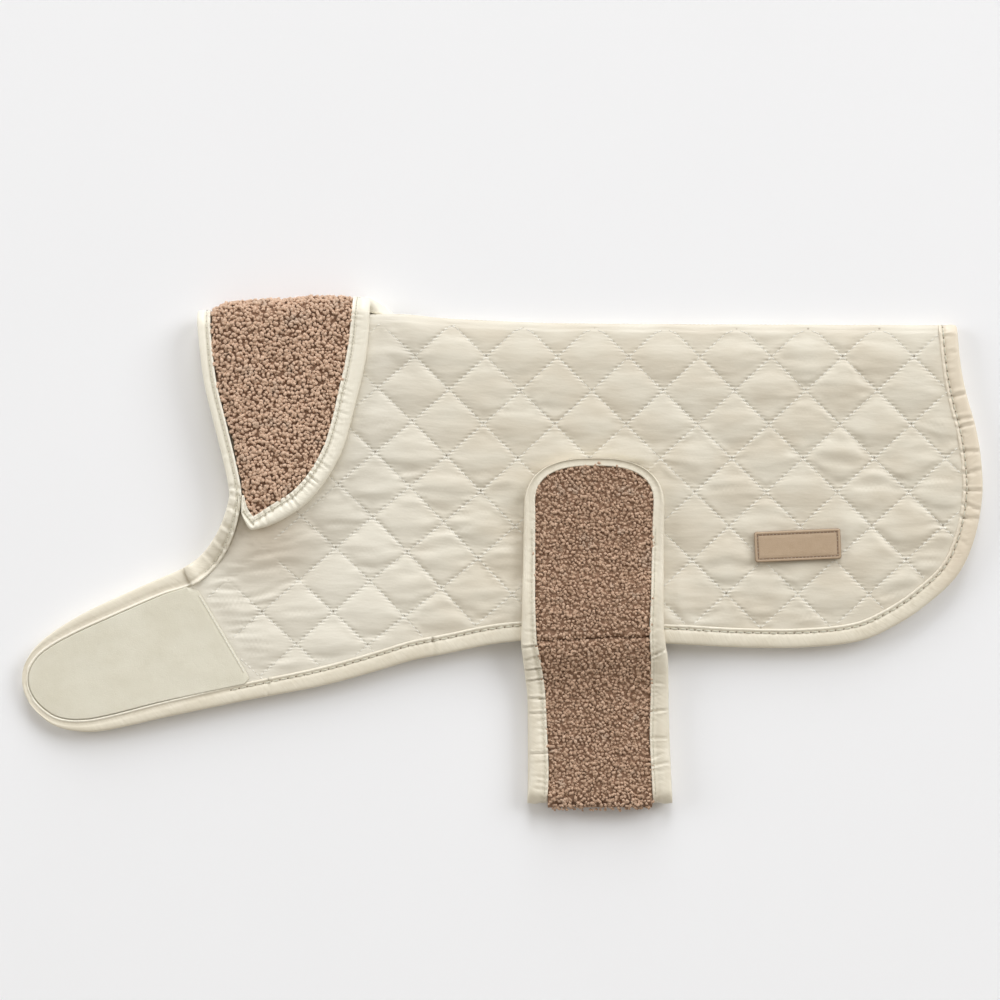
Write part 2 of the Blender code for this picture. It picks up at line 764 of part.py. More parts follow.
def make_collar():
    path, widths, normals = collar_edge_pattern()
    free_edge = path + normals * (widths + SEAM_GAP)[:, None]
    near_seam = [(along, COLLAR.run_at(along, down)) for along, down in COLLAR_SEAM[1:]]
    near_seam = [(COLLAR_SEAM[0][0], 0.0)] + near_seam
    far_seam = [(along, -run) for along, run in near_seam[:0:-1]]
    seam, _ = curve_through(far_seam + near_seam, step=COLLAR_STEP)
    seam = seam + (COLLAR_SEAM_GAP, 0.0)
    outline = np.vstack([free_edge, seam])

    def outer(flat):
        from_seam = smooth(distance_to_line(flat, seam, closed=False) / COLLAR_TAPER)
        from_edge = smooth(distance_to_line(flat, free_edge, closed=False) / COLLAR_TAPER)
        full = COLLAR_OUTER - (COLLAR_OUTER - COLLAR_SEAM_FACE) * (1.0 - from_seam)
        return full - (COLLAR_OUTER - COLLAR_EDGE_FACE) * (1.0 - from_edge)

    def inner(flat):
        return np.full(len(flat), COLLAR_INNER)

    def binding_face(flat):
        return np.full(len(flat), COLLAR_BINDING_FACE)

    quarter = COLLAR.radius * QUARTER_TURN
    roll = [COLLAR.radius * math.radians(turn) for turn in COLLAR_TURNS]
    level = [side * (quarter + further) for side in (-1, 1) for further in COLLAR_ROWS]
    outer_points = np.array([(along, run) for along in COLLAR_COLUMNS for run in roll + level])
    inner_points = np.array([(along, run) for along in COLLAR_COLUMNS[1::3] for run in roll[::2]])
    slab("collar", MATERIAL["teddy fleece"], COLLAR, outline, well_inside(outer_points, outline, RIM_CLEAR),
         well_inside(inner_points, outline, RIM_CLEAR), outer, inner)
    binding("collar_binding", MATERIAL["satin binding"], COLLAR, shortened(path, *BINDING_CUTS), widths,
            normals, inner, binding_face)


def strap_outline(route, sides):
    """The strap's free edge: up its left side, round the tip and back down its right side."""
    left = [(route.centre(run) - route.half_width(run), run) for run in sides]
    right = [(route.centre(run) + route.half_width(run), run) for run in reversed(sides)]
    tip = []
    for step in range(1, STRAP_TIP_POINTS):
        angle = math.pi * step / STRAP_TIP_POINTS
        lean = math.cos(angle)
        across = -math.copysign(abs(lean) ** (2 / STRAP_TIP_POWER), lean)
        run = sides[-1] + STRAP_TIP_LENGTH * math.sin(angle) ** (2 / STRAP_TIP_POWER)
        tip.append((route.centre(run) + route.size(run, 1) * across, run))
    return np.array(left + tip + right)


def make_strap():
    route = StrapRoute()
    straight_end = route.length[-1] - STRAP_TIP_LENGTH
    sides = list(np.arange(0.0, route.fold_start, STRAP_STEP))
    sides += list(np.linspace(route.fold_start, route.fold_end, STRAP_FOLD_POINTS))
    sides += list(np.arange(route.fold_end + STRAP_STEP, straight_end, STRAP_STEP)) + [straight_end]
    path = strap_outline(route, sides)
    normals = inward_normals(path)
    widths = route.size(path[:, 1], 2)
    outline = path + normals * (widths + SEAM_GAP)[:, None]

    def smooth_face(flat):
        return np.zeros(len(flat))

    def fleece_face(flat):
        return route.thickness(flat[:, 1])

    def binding_low(flat):
        return np.full(len(flat), STRAP_BINDING_FLOOR)

    def binding_high(flat):
        return route.thickness(flat[:, 1]) - STRAP_BINDING_DROP

    rows = sides[1:] + [straight_end + STRAP_STEP]
    points = np.array([(route.centre(run) + offset, run) for run in rows for offset in STRAP_COLUMNS])
    points = well_inside(points, outline, RIM_CLEAR)
    slab("belly_strap", MATERIAL["teddy fleece"], route, outline, points, points, fleece_face, smooth_face)
    binding("strap_binding", MATERIAL["satin binding"], route, path, widths, normals, binding_low,
            binding_high)


def flat_faces(faces):
    low, high = faces
    return (lambda flat: np.full(len(flat), high)), (lambda flat: np.full(len(flat), low))


def make_chest_panel():
    outer, inner = flat_faces(PANEL_FACES)
    points = well_inside(grid_points(*PANEL_BOX, PANEL_STEP), PANEL_OUTLINE, PANEL_CLEAR)
    slab("chest_panel", MATERIAL["hook and loop"], BODY, PANEL_OUTLINE, points, points, outer, inner)


def make_label():
    outer, inner = flat_faces(LABEL_FACES)
    places = rounded_rectangle(LABEL_CENTRE, LABEL_SIZE, LABEL_TILT, LABEL_CORNER)
    outline = np.array([(along, BODY.run_at(along, down)) for along, down in places])
    none = np.empty((0, 2))
    slab("label_patch", MATERIAL["leatherette"], BODY, outline, none, none, outer, inner)


def principled(name, colour, roughness, metallic):
    material = bpy.data.materials.new(name)
    material.use_nodes = True
    shader = material.node_tree.nodes["Principled BSDF"]
    shader.inputs["Base Color"].default_value = (*colour, 1.0)
    shader.inputs["Roughness"].default_value = roughness
    shader.inputs["Metallic"].default_value = metallic
    return material


def stand_on_origin(pieces):
    """Puts the origin at the middle of the coat's box, on the table."""
    corners = np.array([vert.co for piece in pieces for vert in piece.data.vertices])
    low = corners.min(axis=0)
    high = corners.max(axis=0)
    shift = ((low[0] + high[0]) / 2, (low[1] + high[1]) / 2, low[2])
    for piece in pieces:
        for vert in piece.data.vertices:
            vert.co = [value - moved for value, moved in zip(vert.co, shift)]
    print("origin at along, down (mm):", round(shift[0] / MM, 3), round(-shift[1] / MM, 3))


for old in list(bpy.data.objects):
    bpy.data.objects.remove(old, do_unlink=True)
COAT = bpy.data.collections.new("dog_winter_coat")
bpy.context.scene.collection.children.link(COAT)
MATERIAL = {name: principled(name, *look) for name, look in MATERIALS.items()}

COLLAR_FOOTPRINT = collar_footprint()
ROOT_FOOTPRINT = strap_footprint(*ROOT_ENDS, ROOT_MARGIN)
BODY = BodyFold(BODY_CREST, BODY_FOLD_RADIUS, BODY_MIDDLE)
COLLAR = CollarFold(COLLAR_CREST, COLLAR_OUTER, COLLAR_MIDDLE)
BODY_PATH, BODY_WIDTHS, BODY_NORMALS, NEAR_THROAT, FAR_THROAT = body_pattern()
SHELL_OUTLINE = BODY_PATH + BODY_NORMALS * (BODY_WIDTHS + SEAM_GAP)[:, None]
PANEL_OUTLINE = panel_outline()

make_shell()
make_body_bindings()
make_collar()
make_strap()
make_chest_panel()
make_label()
stand_on_origin(COAT.objects)
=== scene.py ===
import math

import bpy
import numpy as np
from mathutils.geometry import delaunay_2d_cdt
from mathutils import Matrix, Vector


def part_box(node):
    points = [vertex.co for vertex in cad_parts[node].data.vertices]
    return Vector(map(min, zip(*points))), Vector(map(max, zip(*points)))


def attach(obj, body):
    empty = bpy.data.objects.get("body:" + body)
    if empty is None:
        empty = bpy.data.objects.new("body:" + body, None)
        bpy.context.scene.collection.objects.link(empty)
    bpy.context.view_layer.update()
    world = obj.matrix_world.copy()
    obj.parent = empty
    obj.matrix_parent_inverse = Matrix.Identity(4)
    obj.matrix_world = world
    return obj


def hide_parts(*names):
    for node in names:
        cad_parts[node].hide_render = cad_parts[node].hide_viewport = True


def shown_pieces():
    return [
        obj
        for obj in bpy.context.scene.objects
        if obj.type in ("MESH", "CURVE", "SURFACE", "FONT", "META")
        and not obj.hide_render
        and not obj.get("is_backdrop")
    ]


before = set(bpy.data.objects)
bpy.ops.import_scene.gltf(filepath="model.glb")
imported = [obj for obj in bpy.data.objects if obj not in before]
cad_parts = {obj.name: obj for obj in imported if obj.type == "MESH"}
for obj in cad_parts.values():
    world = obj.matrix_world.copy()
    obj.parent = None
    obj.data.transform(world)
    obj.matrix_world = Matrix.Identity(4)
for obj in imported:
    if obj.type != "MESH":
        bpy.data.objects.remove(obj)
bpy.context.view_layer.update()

scene = bpy.context.scene
mm = 0.001
quarterTurn = math.pi / 2


# Curves and distances in a flat pattern. Sizes are in millimetres until a mesh is written.

def smooth(value):
    value = np.clip(value, 0.0, 1.0)
    return value * value * (3.0 - 2.0 * value)


def ramp(value, ends):  # 0 at the first end, 1 at the second
    start, end = ends
    return smooth((value - start) / (end - start))


def levelAt(height):
    return lambda flat: np.full(len(flat), height)


def bell(value, width):
    return np.exp(-(value / width) ** 2)


def curveThrough(rows, step, closed=False):
    rows = np.asarray(rows, float)
    count = len(rows)
    ahead = np.roll(rows, -1, 0) if closed else np.vstack([rows[1:], 2 * rows[-1] - rows[-2]])
    behind = np.roll(rows, 1, 0) if closed else np.vstack([2 * rows[0] - rows[1], rows[:-1]])
    chordAhead = np.linalg.norm((ahead - rows)[:, :2], axis=1)
    chordBehind = np.linalg.norm((rows - behind)[:, :2], axis=1)
    slope = (ahead - behind) / (chordAhead + chordBehind)[:, None]
    points = []
    starts = []
    for index in range(count if closed else count - 1):
        following = (index + 1) % count
        chord = chordAhead[index]
        pieces = max(1, math.ceil(chord / step))
        starts.append(len(points))
        for piece in range(pieces):
            t = piece / pieces
            points.append((2 * t**3 - 3 * t**2 + 1) * rows[index] + (t**3 - 2 * t**2 + t) * chord * slope[index]
                          + (3 * t**2 - 2 * t**3) * rows[following] + (t**3 - t**2) * chord * slope[following])
    if not closed:
        starts.append(len(points))
        points.append(rows[-1])
    return np.array(points), starts


def rightNormals(points, closed=False):  # to the right of the direction of travel
    travel = np.roll(points, -1, 0) - np.roll(points, 1, 0) if closed else np.gradient(points, axis=0)
    normals = np.column_stack([travel[:, 1], -travel[:, 0]])
    return normals / np.linalg.norm(normals, axis=1)[:, None]


def lengthAlong(points):
    return np.concatenate([[0.0], np.cumsum(np.linalg.norm(np.diff(points, axis=0), axis=1))])


def distanceToLine(points, line, closed=True):
    ends = np.roll(line, -1, 0) if closed else line[1:]
    starts = line if closed else line[:-1]
    best = np.full(len(points), np.inf)
    for start, end in zip(starts, ends):
        edge = end - start
        share = np.clip((points - start) @ edge / max(edge @ edge, 1e-12), 0.0, 1.0)
        offset = points - start - share[:, None] * edge
        best = np.minimum(best, (offset * offset).sum(axis=1))
    return np.sqrt(best)


def isInside(points, outline):
    inside = np.zeros(len(points), bool)
    for start, end in zip(outline, np.roll(outline, -1, 0)):
        if start[1] == end[1]:
            continue
        crosses = (start[1] > points[:, 1]) != (end[1] > points[:, 1])
        reach = start[0] + (points[:, 1] - start[1]) * (end[0] - start[0]) / (end[1] - start[1])
        inside ^= crosses & (points[:, 0] < reach)
    return inside


def distanceOutside(points, outline):
    return np.where(isInside(points, outline), 0.0, distanceToLine(points, outline))


def wellInside(points, outline, margin):
    points = points[isInside(points, outline)]
    return points[distanceToLine(points, outline) > margin]


def gridPoints(low, high, step):
    wide, tall = step if isinstance(step, tuple) else (step, step)
    across = np.arange(low[0], high[0] + wide, wide)
    up = np.arange(low[1], high[1] + tall, tall)
    return np.array([(x, y) for x in across for y in up])


mixing = {
    "primes": (73856093, 19349663),
    "seedPrime": 83492791,
    "offset": 12345,
    "stir": 1274126177,
    "kept": 0x7FFFFFFF,
    "last": 0xFFFF,
}


def scatter(whole, seed):  # whole numbers to steady random shares from 0 to 1
    mixed = np.full(whole[0].shape, seed * mixing["seedPrime"] + mixing["offset"], np.int64)
    for number, prime in zip(whole, mixing["primes"]):
        mixed ^= number.astype(np.int64) * prime
        mixed = (mixed ^ (mixed >> 13)) * mixing["stir"] & mixing["kept"]
    return ((mixed ^ (mixed >> 15)) & mixing["last"]) / mixing["last"]


def cloud(places, sizes, seed):  # soft noise from -1 to 1, with lumps of the given sizes
    cells = places / np.array(sizes, float)
    low = np.floor(cells)
    share = smooth(cells - low)
    value = 0.0
    for right in (0, 1):
        for up in (0, 1):
            weight = (share[:, 0] if right else 1 - share[:, 0]) * (share[:, 1] if up else 1 - share[:, 1])
            value = value + weight * scatter((low[:, 0] + right, low[:, 1] + up), seed)
    return value * 2.0 - 1.0


# Where a flat pattern lies: it is folded over a crest, and `out` is measured from the middle of the layers.

class Fold:
    def __init__(self, crest, radius, middle):
        self.crestLine, _ = curveThrough(crest, 2.0)
        self.radius = radius
        self.middle = middle

    def crest(self, along):
        return np.interp(along, self.crestLine[:, 0], self.crestLine[:, 1])

    def runAt(self, along, down):
        below = np.maximum(down - self.crest(along), 0.0)
        rolled = self.radius * np.arccos(np.clip(1.0 - below / self.radius, -1.0, 1.0))
        return np.where(below < self.radius, rolled, below + self.radius * (quarterTurn - 1.0))

    def unrolled(self, flat):
        return np.abs(flat[:, 1]) + self.crest(flat[:, 0]) - self.radius * (quarterTurn - 1.0)

    def lift(self, along, down):
        return np.zeros(len(along))

    def rise(self, flat, down):
        return np.zeros(len(flat))

    def slide(self, flat):
        return np.zeros(len(flat))

    def place(self, flat, out):
        along = flat[:, 0] + self.slide(flat)
        run = flat[:, 1]
        turn = np.clip(run / self.radius, -quarterTurn, quarterTurn)
        straight = np.maximum(np.abs(run) - self.radius * quarterTurn, 0.0)
        centre = self.crest(along) + self.radius
        nominal = centre + straight - self.radius * np.cos(turn)
        out = out + self.rise(flat, nominal)
        height = self.middle + self.lift(along, nominal) + out * np.sin(turn)
        down = centre + straight - out * np.cos(turn)
        return np.column_stack([along, -down, np.maximum(height * self.flatness(along), 0.0)])

    def flatness(self, along):
        return 1.0


class BodyFold(Fold):
    def lift(self, along, down):  # over the collar's far half
        outside = distanceOutside(np.column_stack([along, down]), collarFootprint)
        return bodyCut["collarLift"] * (1.0 - smooth(outside / bodyCut["liftReach"]))

    def flatness(self, along):
        return 1.0 - bodyCut["tongueThinning"] * ramp(along, bodyCut["tongueThinFrom"])

    def rise(self, flat, down):  # over the strap's root, on the near half
        outside = distanceOutside(np.column_stack([flat[:, 0], down]), rootFootprint)
        return np.where(flat[:, 1] > 0, bodyCut["rootRise"] * (1.0 - smooth(outside / bodyCut["rootReach"])), 0.0)


def cornerShare(run):
    return bell(run + collarCut["cornerRun"], collarCut["cornerReach"]) * (run < 0)


class CollarFold(Fold):
    def slide(self, flat):  # the far half's corner shows past the near half's
        return collarCut["cornerSlide"] * cornerShare(flat[:, 1]) * ramp(flat[:, 0], collarCut["cornerSlideFrom"])


def acrossFold(run, radius, far, crest, near):
    lean = np.sin(np.clip(run / radius, -quarterTurn, quarterTurn))
    return np.where(lean < 0, crest + (crest - far) * lean, crest + (near - crest) * lean)


class StrapRoute:  # the strap's smooth face, from its root, round the lower fold, to its tip
    def __init__(self, cut):
        foldDown, foldHeight, *foldRest = cut["fold"]
        rows = list(cut["rear"])
        for angle in range(-90, 91, 30):
            turn = math.radians(angle)
            rows.append((foldDown + cut["foldRadius"] * math.cos(turn),
                         foldHeight + cut["foldRadius"] * math.sin(turn), *foldRest))
        points, _ = curveThrough(rows + list(cut["front"]), 1.0)
        self.line = points[:, :2]
        self.sizes = points[:, 2:]
        self.length = lengthAlong(self.line)
        self.normal = rightNormals(self.line)
        beyond = self.line[:, 0] > foldDown
        self.foldStart = self.length[np.argmax(beyond)]
        self.foldEnd = self.length[len(beyond) - 1 - np.argmax(beyond[::-1])]
        self.tip = (cut["tipLength"], cut["tipPower"])

    def size(self, run, index):
        return np.interp(run, self.length, self.sizes[:, index])

    def halfWidth(self, run):
        tipLength, power = self.tip
        share = np.clip((run - (self.length[-1] - tipLength)) / tipLength, 0.0, 1.0)
        return self.size(run, 1) * (1.0 - share**power) ** (1.0 / power)

    def downAt(self, run):
        return np.interp(run, self.length, self.line[:, 0])

    def place(self, flat, out):
        run = flat[:, 1]
        down, height = (np.interp(run, self.length, self.line[:, axis]) for axis in (0, 1))
        toward, rise = (np.interp(run, self.length, self.normal[:, axis]) for axis in (0, 1))
        size = np.hypot(toward, rise)
        return np.column_stack([flat[:, 0], -(down + out * toward / size),
                                np.maximum(height + out * rise / size, 0.0)])


# Trees of nodes, for materials and for geometry.

class Wire:
    def __init__(self, tree, node, socket):
        self.tree = tree
        self.node = node
        self.socket = socket

    def of(self, name):
        return Wire(self.tree, self.node, next(s for s in self.node.outputs if s.name == name and s.enabled))

    def math(self, operation, *values):
        return self.tree.add("ShaderNodeMath", {"operation": operation}, dict(enumerate(values)))

    def __add__(self, other):
        return self.math("ADD", self, other)

    def __radd__(self, other):
        return self.math("ADD", other, self)

    def __sub__(self, other):
        return self.math("SUBTRACT", self, other)

    def __rsub__(self, other):
        return self.math("SUBTRACT", other, self)

    def __mul__(self, other):
        return self.math("MULTIPLY", self, other)

    def __rmul__(self, other):
        return self.math("MULTIPLY", other, self)

    def __truediv__(self, other):
        return self.math("DIVIDE", self, other)

    def fromWhole(self):  # distance from the nearest whole number
        return self.math("ABSOLUTE", self.math("SUBTRACT", self.math("FRACT", self + 0.5), 0.5))

    def wave(self, turns):
        return self.math("COSINE", self * (turns * math.tau)) * 0.5 + 0.5

    def bell(self, width):
        share = self / width
        return self.math("EXPONENT", share * share * -1.0)

    def between(self, low, high):  # 0 at low, 1 at high
        return self.tree.add("ShaderNodeMapRange", {"interpolation_type": "SMOOTHSTEP"},
                             {"Value": self, "From Min": low, "From Max": high})


class NodeTree:
    def __init__(self, tree):
        self.tree = tree

    def add(self, kind, settings=None, inputs=None):
        node = self.tree.nodes.new(kind)
        for name, value in (settings or {}).items():
            setattr(node, name, value)
        self.fill(node, inputs or {})
        return Wire(self, node, next((s for s in node.outputs if s.enabled), None))

    def fill(self, node, inputs):
        for name, value in inputs.items():
            if isinstance(name, int):
                socket = node.inputs[name]
            else:
                socket = next(s for s in node.inputs if s.name == name and s.enabled)
            for one in value if isinstance(value, list) else [value]:
                if isinstance(one, Wire):
                    self.tree.links.new(one.socket, socket)
                else:
                    socket.default_value = one

    def colour(self, factor, first, second):
        first, second = (end if isinstance(end, Wire) else opaque(end) for end in (first, second))
        return self.add("ShaderNodeMix", {"data_type": "RGBA"}, {"Factor": factor, "A": first, "B": second})

    def attribute(self, name):
        return self.add("ShaderNodeAttribute", {"attribute_name": name})

    def named(self, name, kind="FLOAT"):
        return self.add("GeometryNodeInputNamedAttribute", {"data_type": kind}, {"Name": name})

    def parts(self, vector):  # X, Y and Z of a vector
        return self.add("ShaderNodeSeparateXYZ", {}, {0: vector})

    def vector(self, *parts):
        return self.add("ShaderNodeCombineXYZ", {}, dict(zip("XYZ", parts)))

    def noise(self, where, scale, detail=2.0, roughness=0.5):
        return self.add("ShaderNodeTexNoise", {},
                        {"Vector": where, "Scale": scale, "Detail": detail, "Roughness": roughness})

    def stretched(self, where, scale):
        return self.add("ShaderNodeVectorMath", {"operation": "MULTIPLY"}, {0: where, 1: scale})

    def grain(self, where, scales, detail=1.0):  # noise on a pattern, finer one way than the other
        return self.noise(self.stretched(where, (*scales, 1.0)), 1.0, detail)


def opaque(colour):
    return (*colour, 1.0)


def newFinish(name):
    material = bpy.data.materials.new(name)
    material.use_nodes = True
    return material, NodeTree(material.node_tree)


def setFinish(material, tree, height, inputs):  # height in millimetres
    if height:
        inputs["Normal"] = tree.add("ShaderNodeBump", {}, {"Strength": 1.0, "Distance": mm, "Height": height})
    tree.fill(material.node_tree.nodes["Principled BSDF"], inputs)
    return material


def objectPlace(tree):  # Object coordinates in millimetres
    place = tree.add("ShaderNodeTexCoord").of("Object")
    return tree.stretched(place, (1000.0, 1000.0, 1000.0))


nylonLook = {
    "light": (0.735, 0.68, 0.56),
    "deep": (0.685, 0.615, 0.49),
    "pale": (0.81, 0.765, 0.655),    # painted light: the nylon is drawn paler towards the neck
    "warm": (0.68, 0.575, 0.445),    # painted warm shade beside the collar's tip
    "hole": (0.26, 0.20, 0.13),
    "tooth": (0.90, 0.855, 0.74),    # painted highlight on the crowns between the stitches' tucks
    "roughness": (0.37, 0.14),       # least, and what the crinkles add
    "seamSide": 28.5,                # side of a diamond
    "stitchesASide": 9,
    "toothDepth": 0.28,              # each stitch draws the cloth up into a small level tuck
    "toothReach": 1.6,
    "crownReach": 1.1,
    "pinch": (0.15, 0.5),            # depth and reach of the line that the thread presses in
    "holeReach": 0.8,
    "crinkleDepth": 0.30,
    "threadDepth": 0.01,
    # lumps a millimetre, along and down
    "wander": (0.25, 0.25),
    "drift": (0.16, 0.16),
    "crinkles": (0.085, 0.27),
    "threads": (0.7, 4.0),
    "blotches": (0.03, 0.05),
}


def quiltedNylon():
    look = nylonLook
    material, tree = newFinish("quiltedNylon")
    quilt = tree.parts(tree.attribute("quilt").of("Vector"))
    first, second, share = quilt.of("X"), quilt.of("Y"), quilt.of("Z")
    cloth = tree.attribute("cloth").of("Vector")
    near = tree.parts(cloth).of("Z")
    pale, warmth = (tree.attribute(name).of("Fac") for name in ("pale", "warmth"))
    fromSeams = [side.fromWhole() * look["seamSide"] for side in (first, second)]
    wander, drift, threads = (tree.grain(cloth, look[name]) for name in ("wander", "drift", "threads"))
    crinkle = tree.grain(cloth, look["crinkles"], 3.0)
    blotch = tree.grain(cloth, look["blotches"], 2.0)

    def beside(reach):
        return fromSeams[0].bell(reach) + fromSeams[1].bell(reach)

    pinchDepth, pinchReach = look["pinch"]
    pinch = beside(pinchReach) * share.between(0.1, 0.4)
    crossing = fromSeams[0].bell(look["holeReach"]) * fromSeams[1].bell(look["holeReach"])
    hole = crossing * drift.between(0.45, 0.6) * near
    teeth = (first - second + wander * 0.03).wave(look["stitchesASide"])
    uneven = drift.between(0.3, 0.65) * 0.8 + 0.25
    tooth = teeth * beside(look["toothReach"]) * near * (share * 0.85 + 0.15) * uneven
    crown = (1.0 - teeth) * beside(look["crownReach"]) * near * share.between(0.0, 0.3)
    base = tree.colour(blotch.between(0.3, 0.7), look["light"], look["deep"])
    # painted light: the nylon is drawn paler towards the neck
    base = tree.colour(pale * 0.7, base, look["pale"])
    # painted warm shade beside the collar's tip
    base = tree.colour(warmth * 0.6, base, look["warm"])
    base = tree.colour(hole.between(0.2, 0.9) * 0.7, base, look["hole"])
    # painted highlight on the tucks' crowns beside the seams
    base = tree.colour(crown.between(0.3, 0.9) * drift.between(0.35, 0.6) * 0.7, base, look["tooth"])
    height = (crinkle * look["crinkleDepth"] + threads * look["threadDepth"] - tooth * look["toothDepth"]
              - pinch * near * pinchDepth)
    smoothest, added = look["roughness"]
    return setFinish(material, tree, height, {
        "Base Color": base, "Roughness": crinkle * added + smoothest, "Sheen Weight": 0.12, "Sheen Roughness": 0.4,
        "Specular IOR Level": 0.42})


satinLook = {
    "light": (0.81, 0.745, 0.605),
    "deep": (0.75, 0.68, 0.54),
    "warm": (0.75, 0.65, 0.505),
    "paintedHighlight": (0.92, 0.87, 0.735),      # painted highlight on the raised edge beside the cloth that it binds
    "roughness": (0.30, 0.16),
    "crimpDepth": 0.26,
    "threadDepth": 0.012,
    "slant": 0.55,                   # its crimps lean across it
    # lumps a millimetre, along and across
    "crimps": (0.5, 0.11),
    "threads": (4.0, 0.8),
    "blotches": (0.05, 0.12),
}


def satinBinding():
    look = satinLook
    material, tree = newFinish("satinBinding")
    strip = tree.parts(tree.attribute("strip").of("Vector"))
    length, across, warm = strip.of("X"), strip.of("Y"), strip.of("Z")

    def grain(along, scales, roughness=0.5, detail=2.0):
        return tree.noise(tree.vector(along * scales[0], across * scales[1], 0.0), 1.0, detail, roughness)

    crimp = grain(length + across * look["slant"], look["crimps"], 0.6)
    threads = grain(length, look["threads"], detail=1.0)
    blotch = grain(length, look["blotches"])
    base = tree.colour(blotch.between(0.3, 0.7), look["light"], look["deep"])
    base = tree.colour(warm * (blotch * 0.6 + 0.6), base, look["warm"])
    # painted highlight along the raised lip, and painted light where a binding is drawn paler
    base = tree.colour(tree.attribute("paintedHighlight").of("Fac") * 0.7, base, look["paintedHighlight"])
    smoothest, added = look["roughness"]
    height = crimp * look["crimpDepth"] + threads * look["threadDepth"]
    return setFinish(material, tree, height, {
        "Base Color": base, "Roughness": crimp * added + smoothest, "Sheen Weight": 0.1, "Sheen Roughness": 0.4,
        "Specular IOR Level": 0.45})


fleeceLook = {
    "crown": (0.76, 0.53, 0.375),
    "shade": (0.46, 0.295, 0.19),
    "grey": (0.56, 0.44, 0.34),
    # painted shade: the ground under the curls is drawn darker than the curls, for the shade between them
    "ground": (0.30, 0.18, 0.118),
    "sheenTint": (1.0, 0.86, 0.76),
    "patchScale": 0.10,              # lumps a millimetre
    "fibreScale": 2.6,
    "fibreDepth": 0.42,
    "lumpScale": 0.38,
    "lumpDepth": 1.6,
}


def teddyCurls():
    look = fleeceLook
    material, tree = newFinish("teddyCurls")
    place = objectPlace(tree)
    tone = tree.attribute("tone").of("Fac")
    patch = tree.noise(place, look["patchScale"])
    fibre = tree.noise(place, look["fibreScale"], 3.0, 0.7)
    base = tree.colour(tone * 0.8 + fibre.between(0.3, 0.7) * 0.3, look["shade"], look["crown"])
    base = tree.colour(patch.between(0.58, 0.74) * 0.45, base, look["grey"])
    return setFinish(material, tree, fibre * look["fibreDepth"], {
        "Base Color": base, "Roughness": 0.85, "Sheen Weight": 0.25, "Sheen Roughness": 0.5,
        "Specular IOR Level": 0.25, "Sheen Tint": opaque(look["sheenTint"])})


def teddyGround():
    look = fleeceLook
    material, tree = newFinish("teddyGround")
    lumps = tree.noise(objectPlace(tree), look["lumpScale"], 3.0, 0.6)
    # painted shade between the curls
    between = tree.colour(lumps * 0.35, look["ground"], look["shade"])
    uncovered = tree.colour(lumps, look["shade"], look["crown"])    # where no curls are set
    base = tree.colour(tree.attribute("bare").of("Fac"), between, uncovered)
    return setFinish(material, tree, lumps * look["lumpDepth"],
                     {"Base Color": base, "Roughness": 0.95, "Specular IOR Level": 0.15})


panelLook = {
    "light": (0.77, 0.73, 0.60),
    "deep": (0.71, 0.665, 0.53),
    "blotchScale": 0.05,             # lumps a millimetre
    "blotchDepth": 0.5,
    "loopScale": 1.6,
    "loopDepth": 0.16,
}


def hookAndLoop():
    look = panelLook
    material, tree = newFinish("hookAndLoop")
    place = objectPlace(tree)
    blotch = tree.noise(place, look["blotchScale"], 3.0, 0.6)
    loops = tree.noise(place, look["loopScale"], 3.0, 0.7)
    base = tree.colour(blotch.between(0.3, 0.72) * 0.75 + loops * 0.25, look["light"], look["deep"])
    height = loops * look["loopDepth"] + blotch * look["blotchDepth"]
    return setFinish(material, tree, height,
                     {"Base Color": base, "Roughness": 0.85, "Sheen Weight": 0.25, "Specular IOR Level": 0.25})


leatherLook = {
    "field": (0.45, 0.325, 0.21),
    "light": (0.52, 0.385, 0.26),
    "groove": (0.17, 0.10, 0.055),
    "grooveInset": 1.95,
    "grooveReach": 0.42,
    "grainScale": 1.5,
    "grainDepth": 0.05,
    "blotchScale": 0.25,
    "blotchDepth": 0.15,
    "roughness": (0.38, 0.2),
}


def leatherette():
    look = leatherLook
    material, tree = newFinish("leatherette")
    place = objectPlace(tree)
    inset = tree.attribute("inset").of("Fac")
    grain = tree.add("ShaderNodeTexVoronoi", {"feature": "DISTANCE_TO_EDGE"},
                     {"Vector": place, "Scale": look["grainScale"]})
    blotch = tree.noise(place, look["blotchScale"], 3.0, 0.6)
    base = tree.colour(blotch, look["field"], look["light"])
    base = tree.colour((inset - look["grooveInset"]).bell(look["grooveReach"]) * 0.9, base, look["groove"])
    # painted shadow: the label's outer edge is drawn in the groove's dark brown as a thin dark outline
    base = tree.colour(1.0 - inset.between(0.0, 0.35), base, look["groove"])
    smoothest, added = look["roughness"]
    height = grain.between(0.0, 0.3) * look["grainDepth"] + blotch * look["blotchDepth"]
    return setFinish(material, tree, height, {"Base Color": base, "Roughness": blotch * added + smoothest,
                                              "Specular IOR Level": 0.45})


threadLook = {"twistScale": 3.5, "twistDepth": 0.12, "darker": 0.82}


def sewingThread(name, colour):
    look = threadLook
    material, tree = newFinish(name)
    twist = tree.noise(objectPlace(tree), look["twistScale"], 1.0)
    base = tree.colour(twist, colour, tuple(look["darker"] * value for value in colour))
    return setFinish(material, tree, twist * look["twistDepth"],
                     {"Base Color": base, "Roughness": 0.5, "Sheen Weight": 0.1})


# Meshes.

labelLow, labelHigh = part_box("label_patch")
labelCentre = (347.0, 129.6)             # along, down: ties the pattern to the frame
origin = np.array([labelCentre[0] - (labelLow.x + labelHigh.x) / 2 / mm,
                   -labelCentre[1] - (labelLow.y + labelHigh.y) / 2 / mm, 0.0])


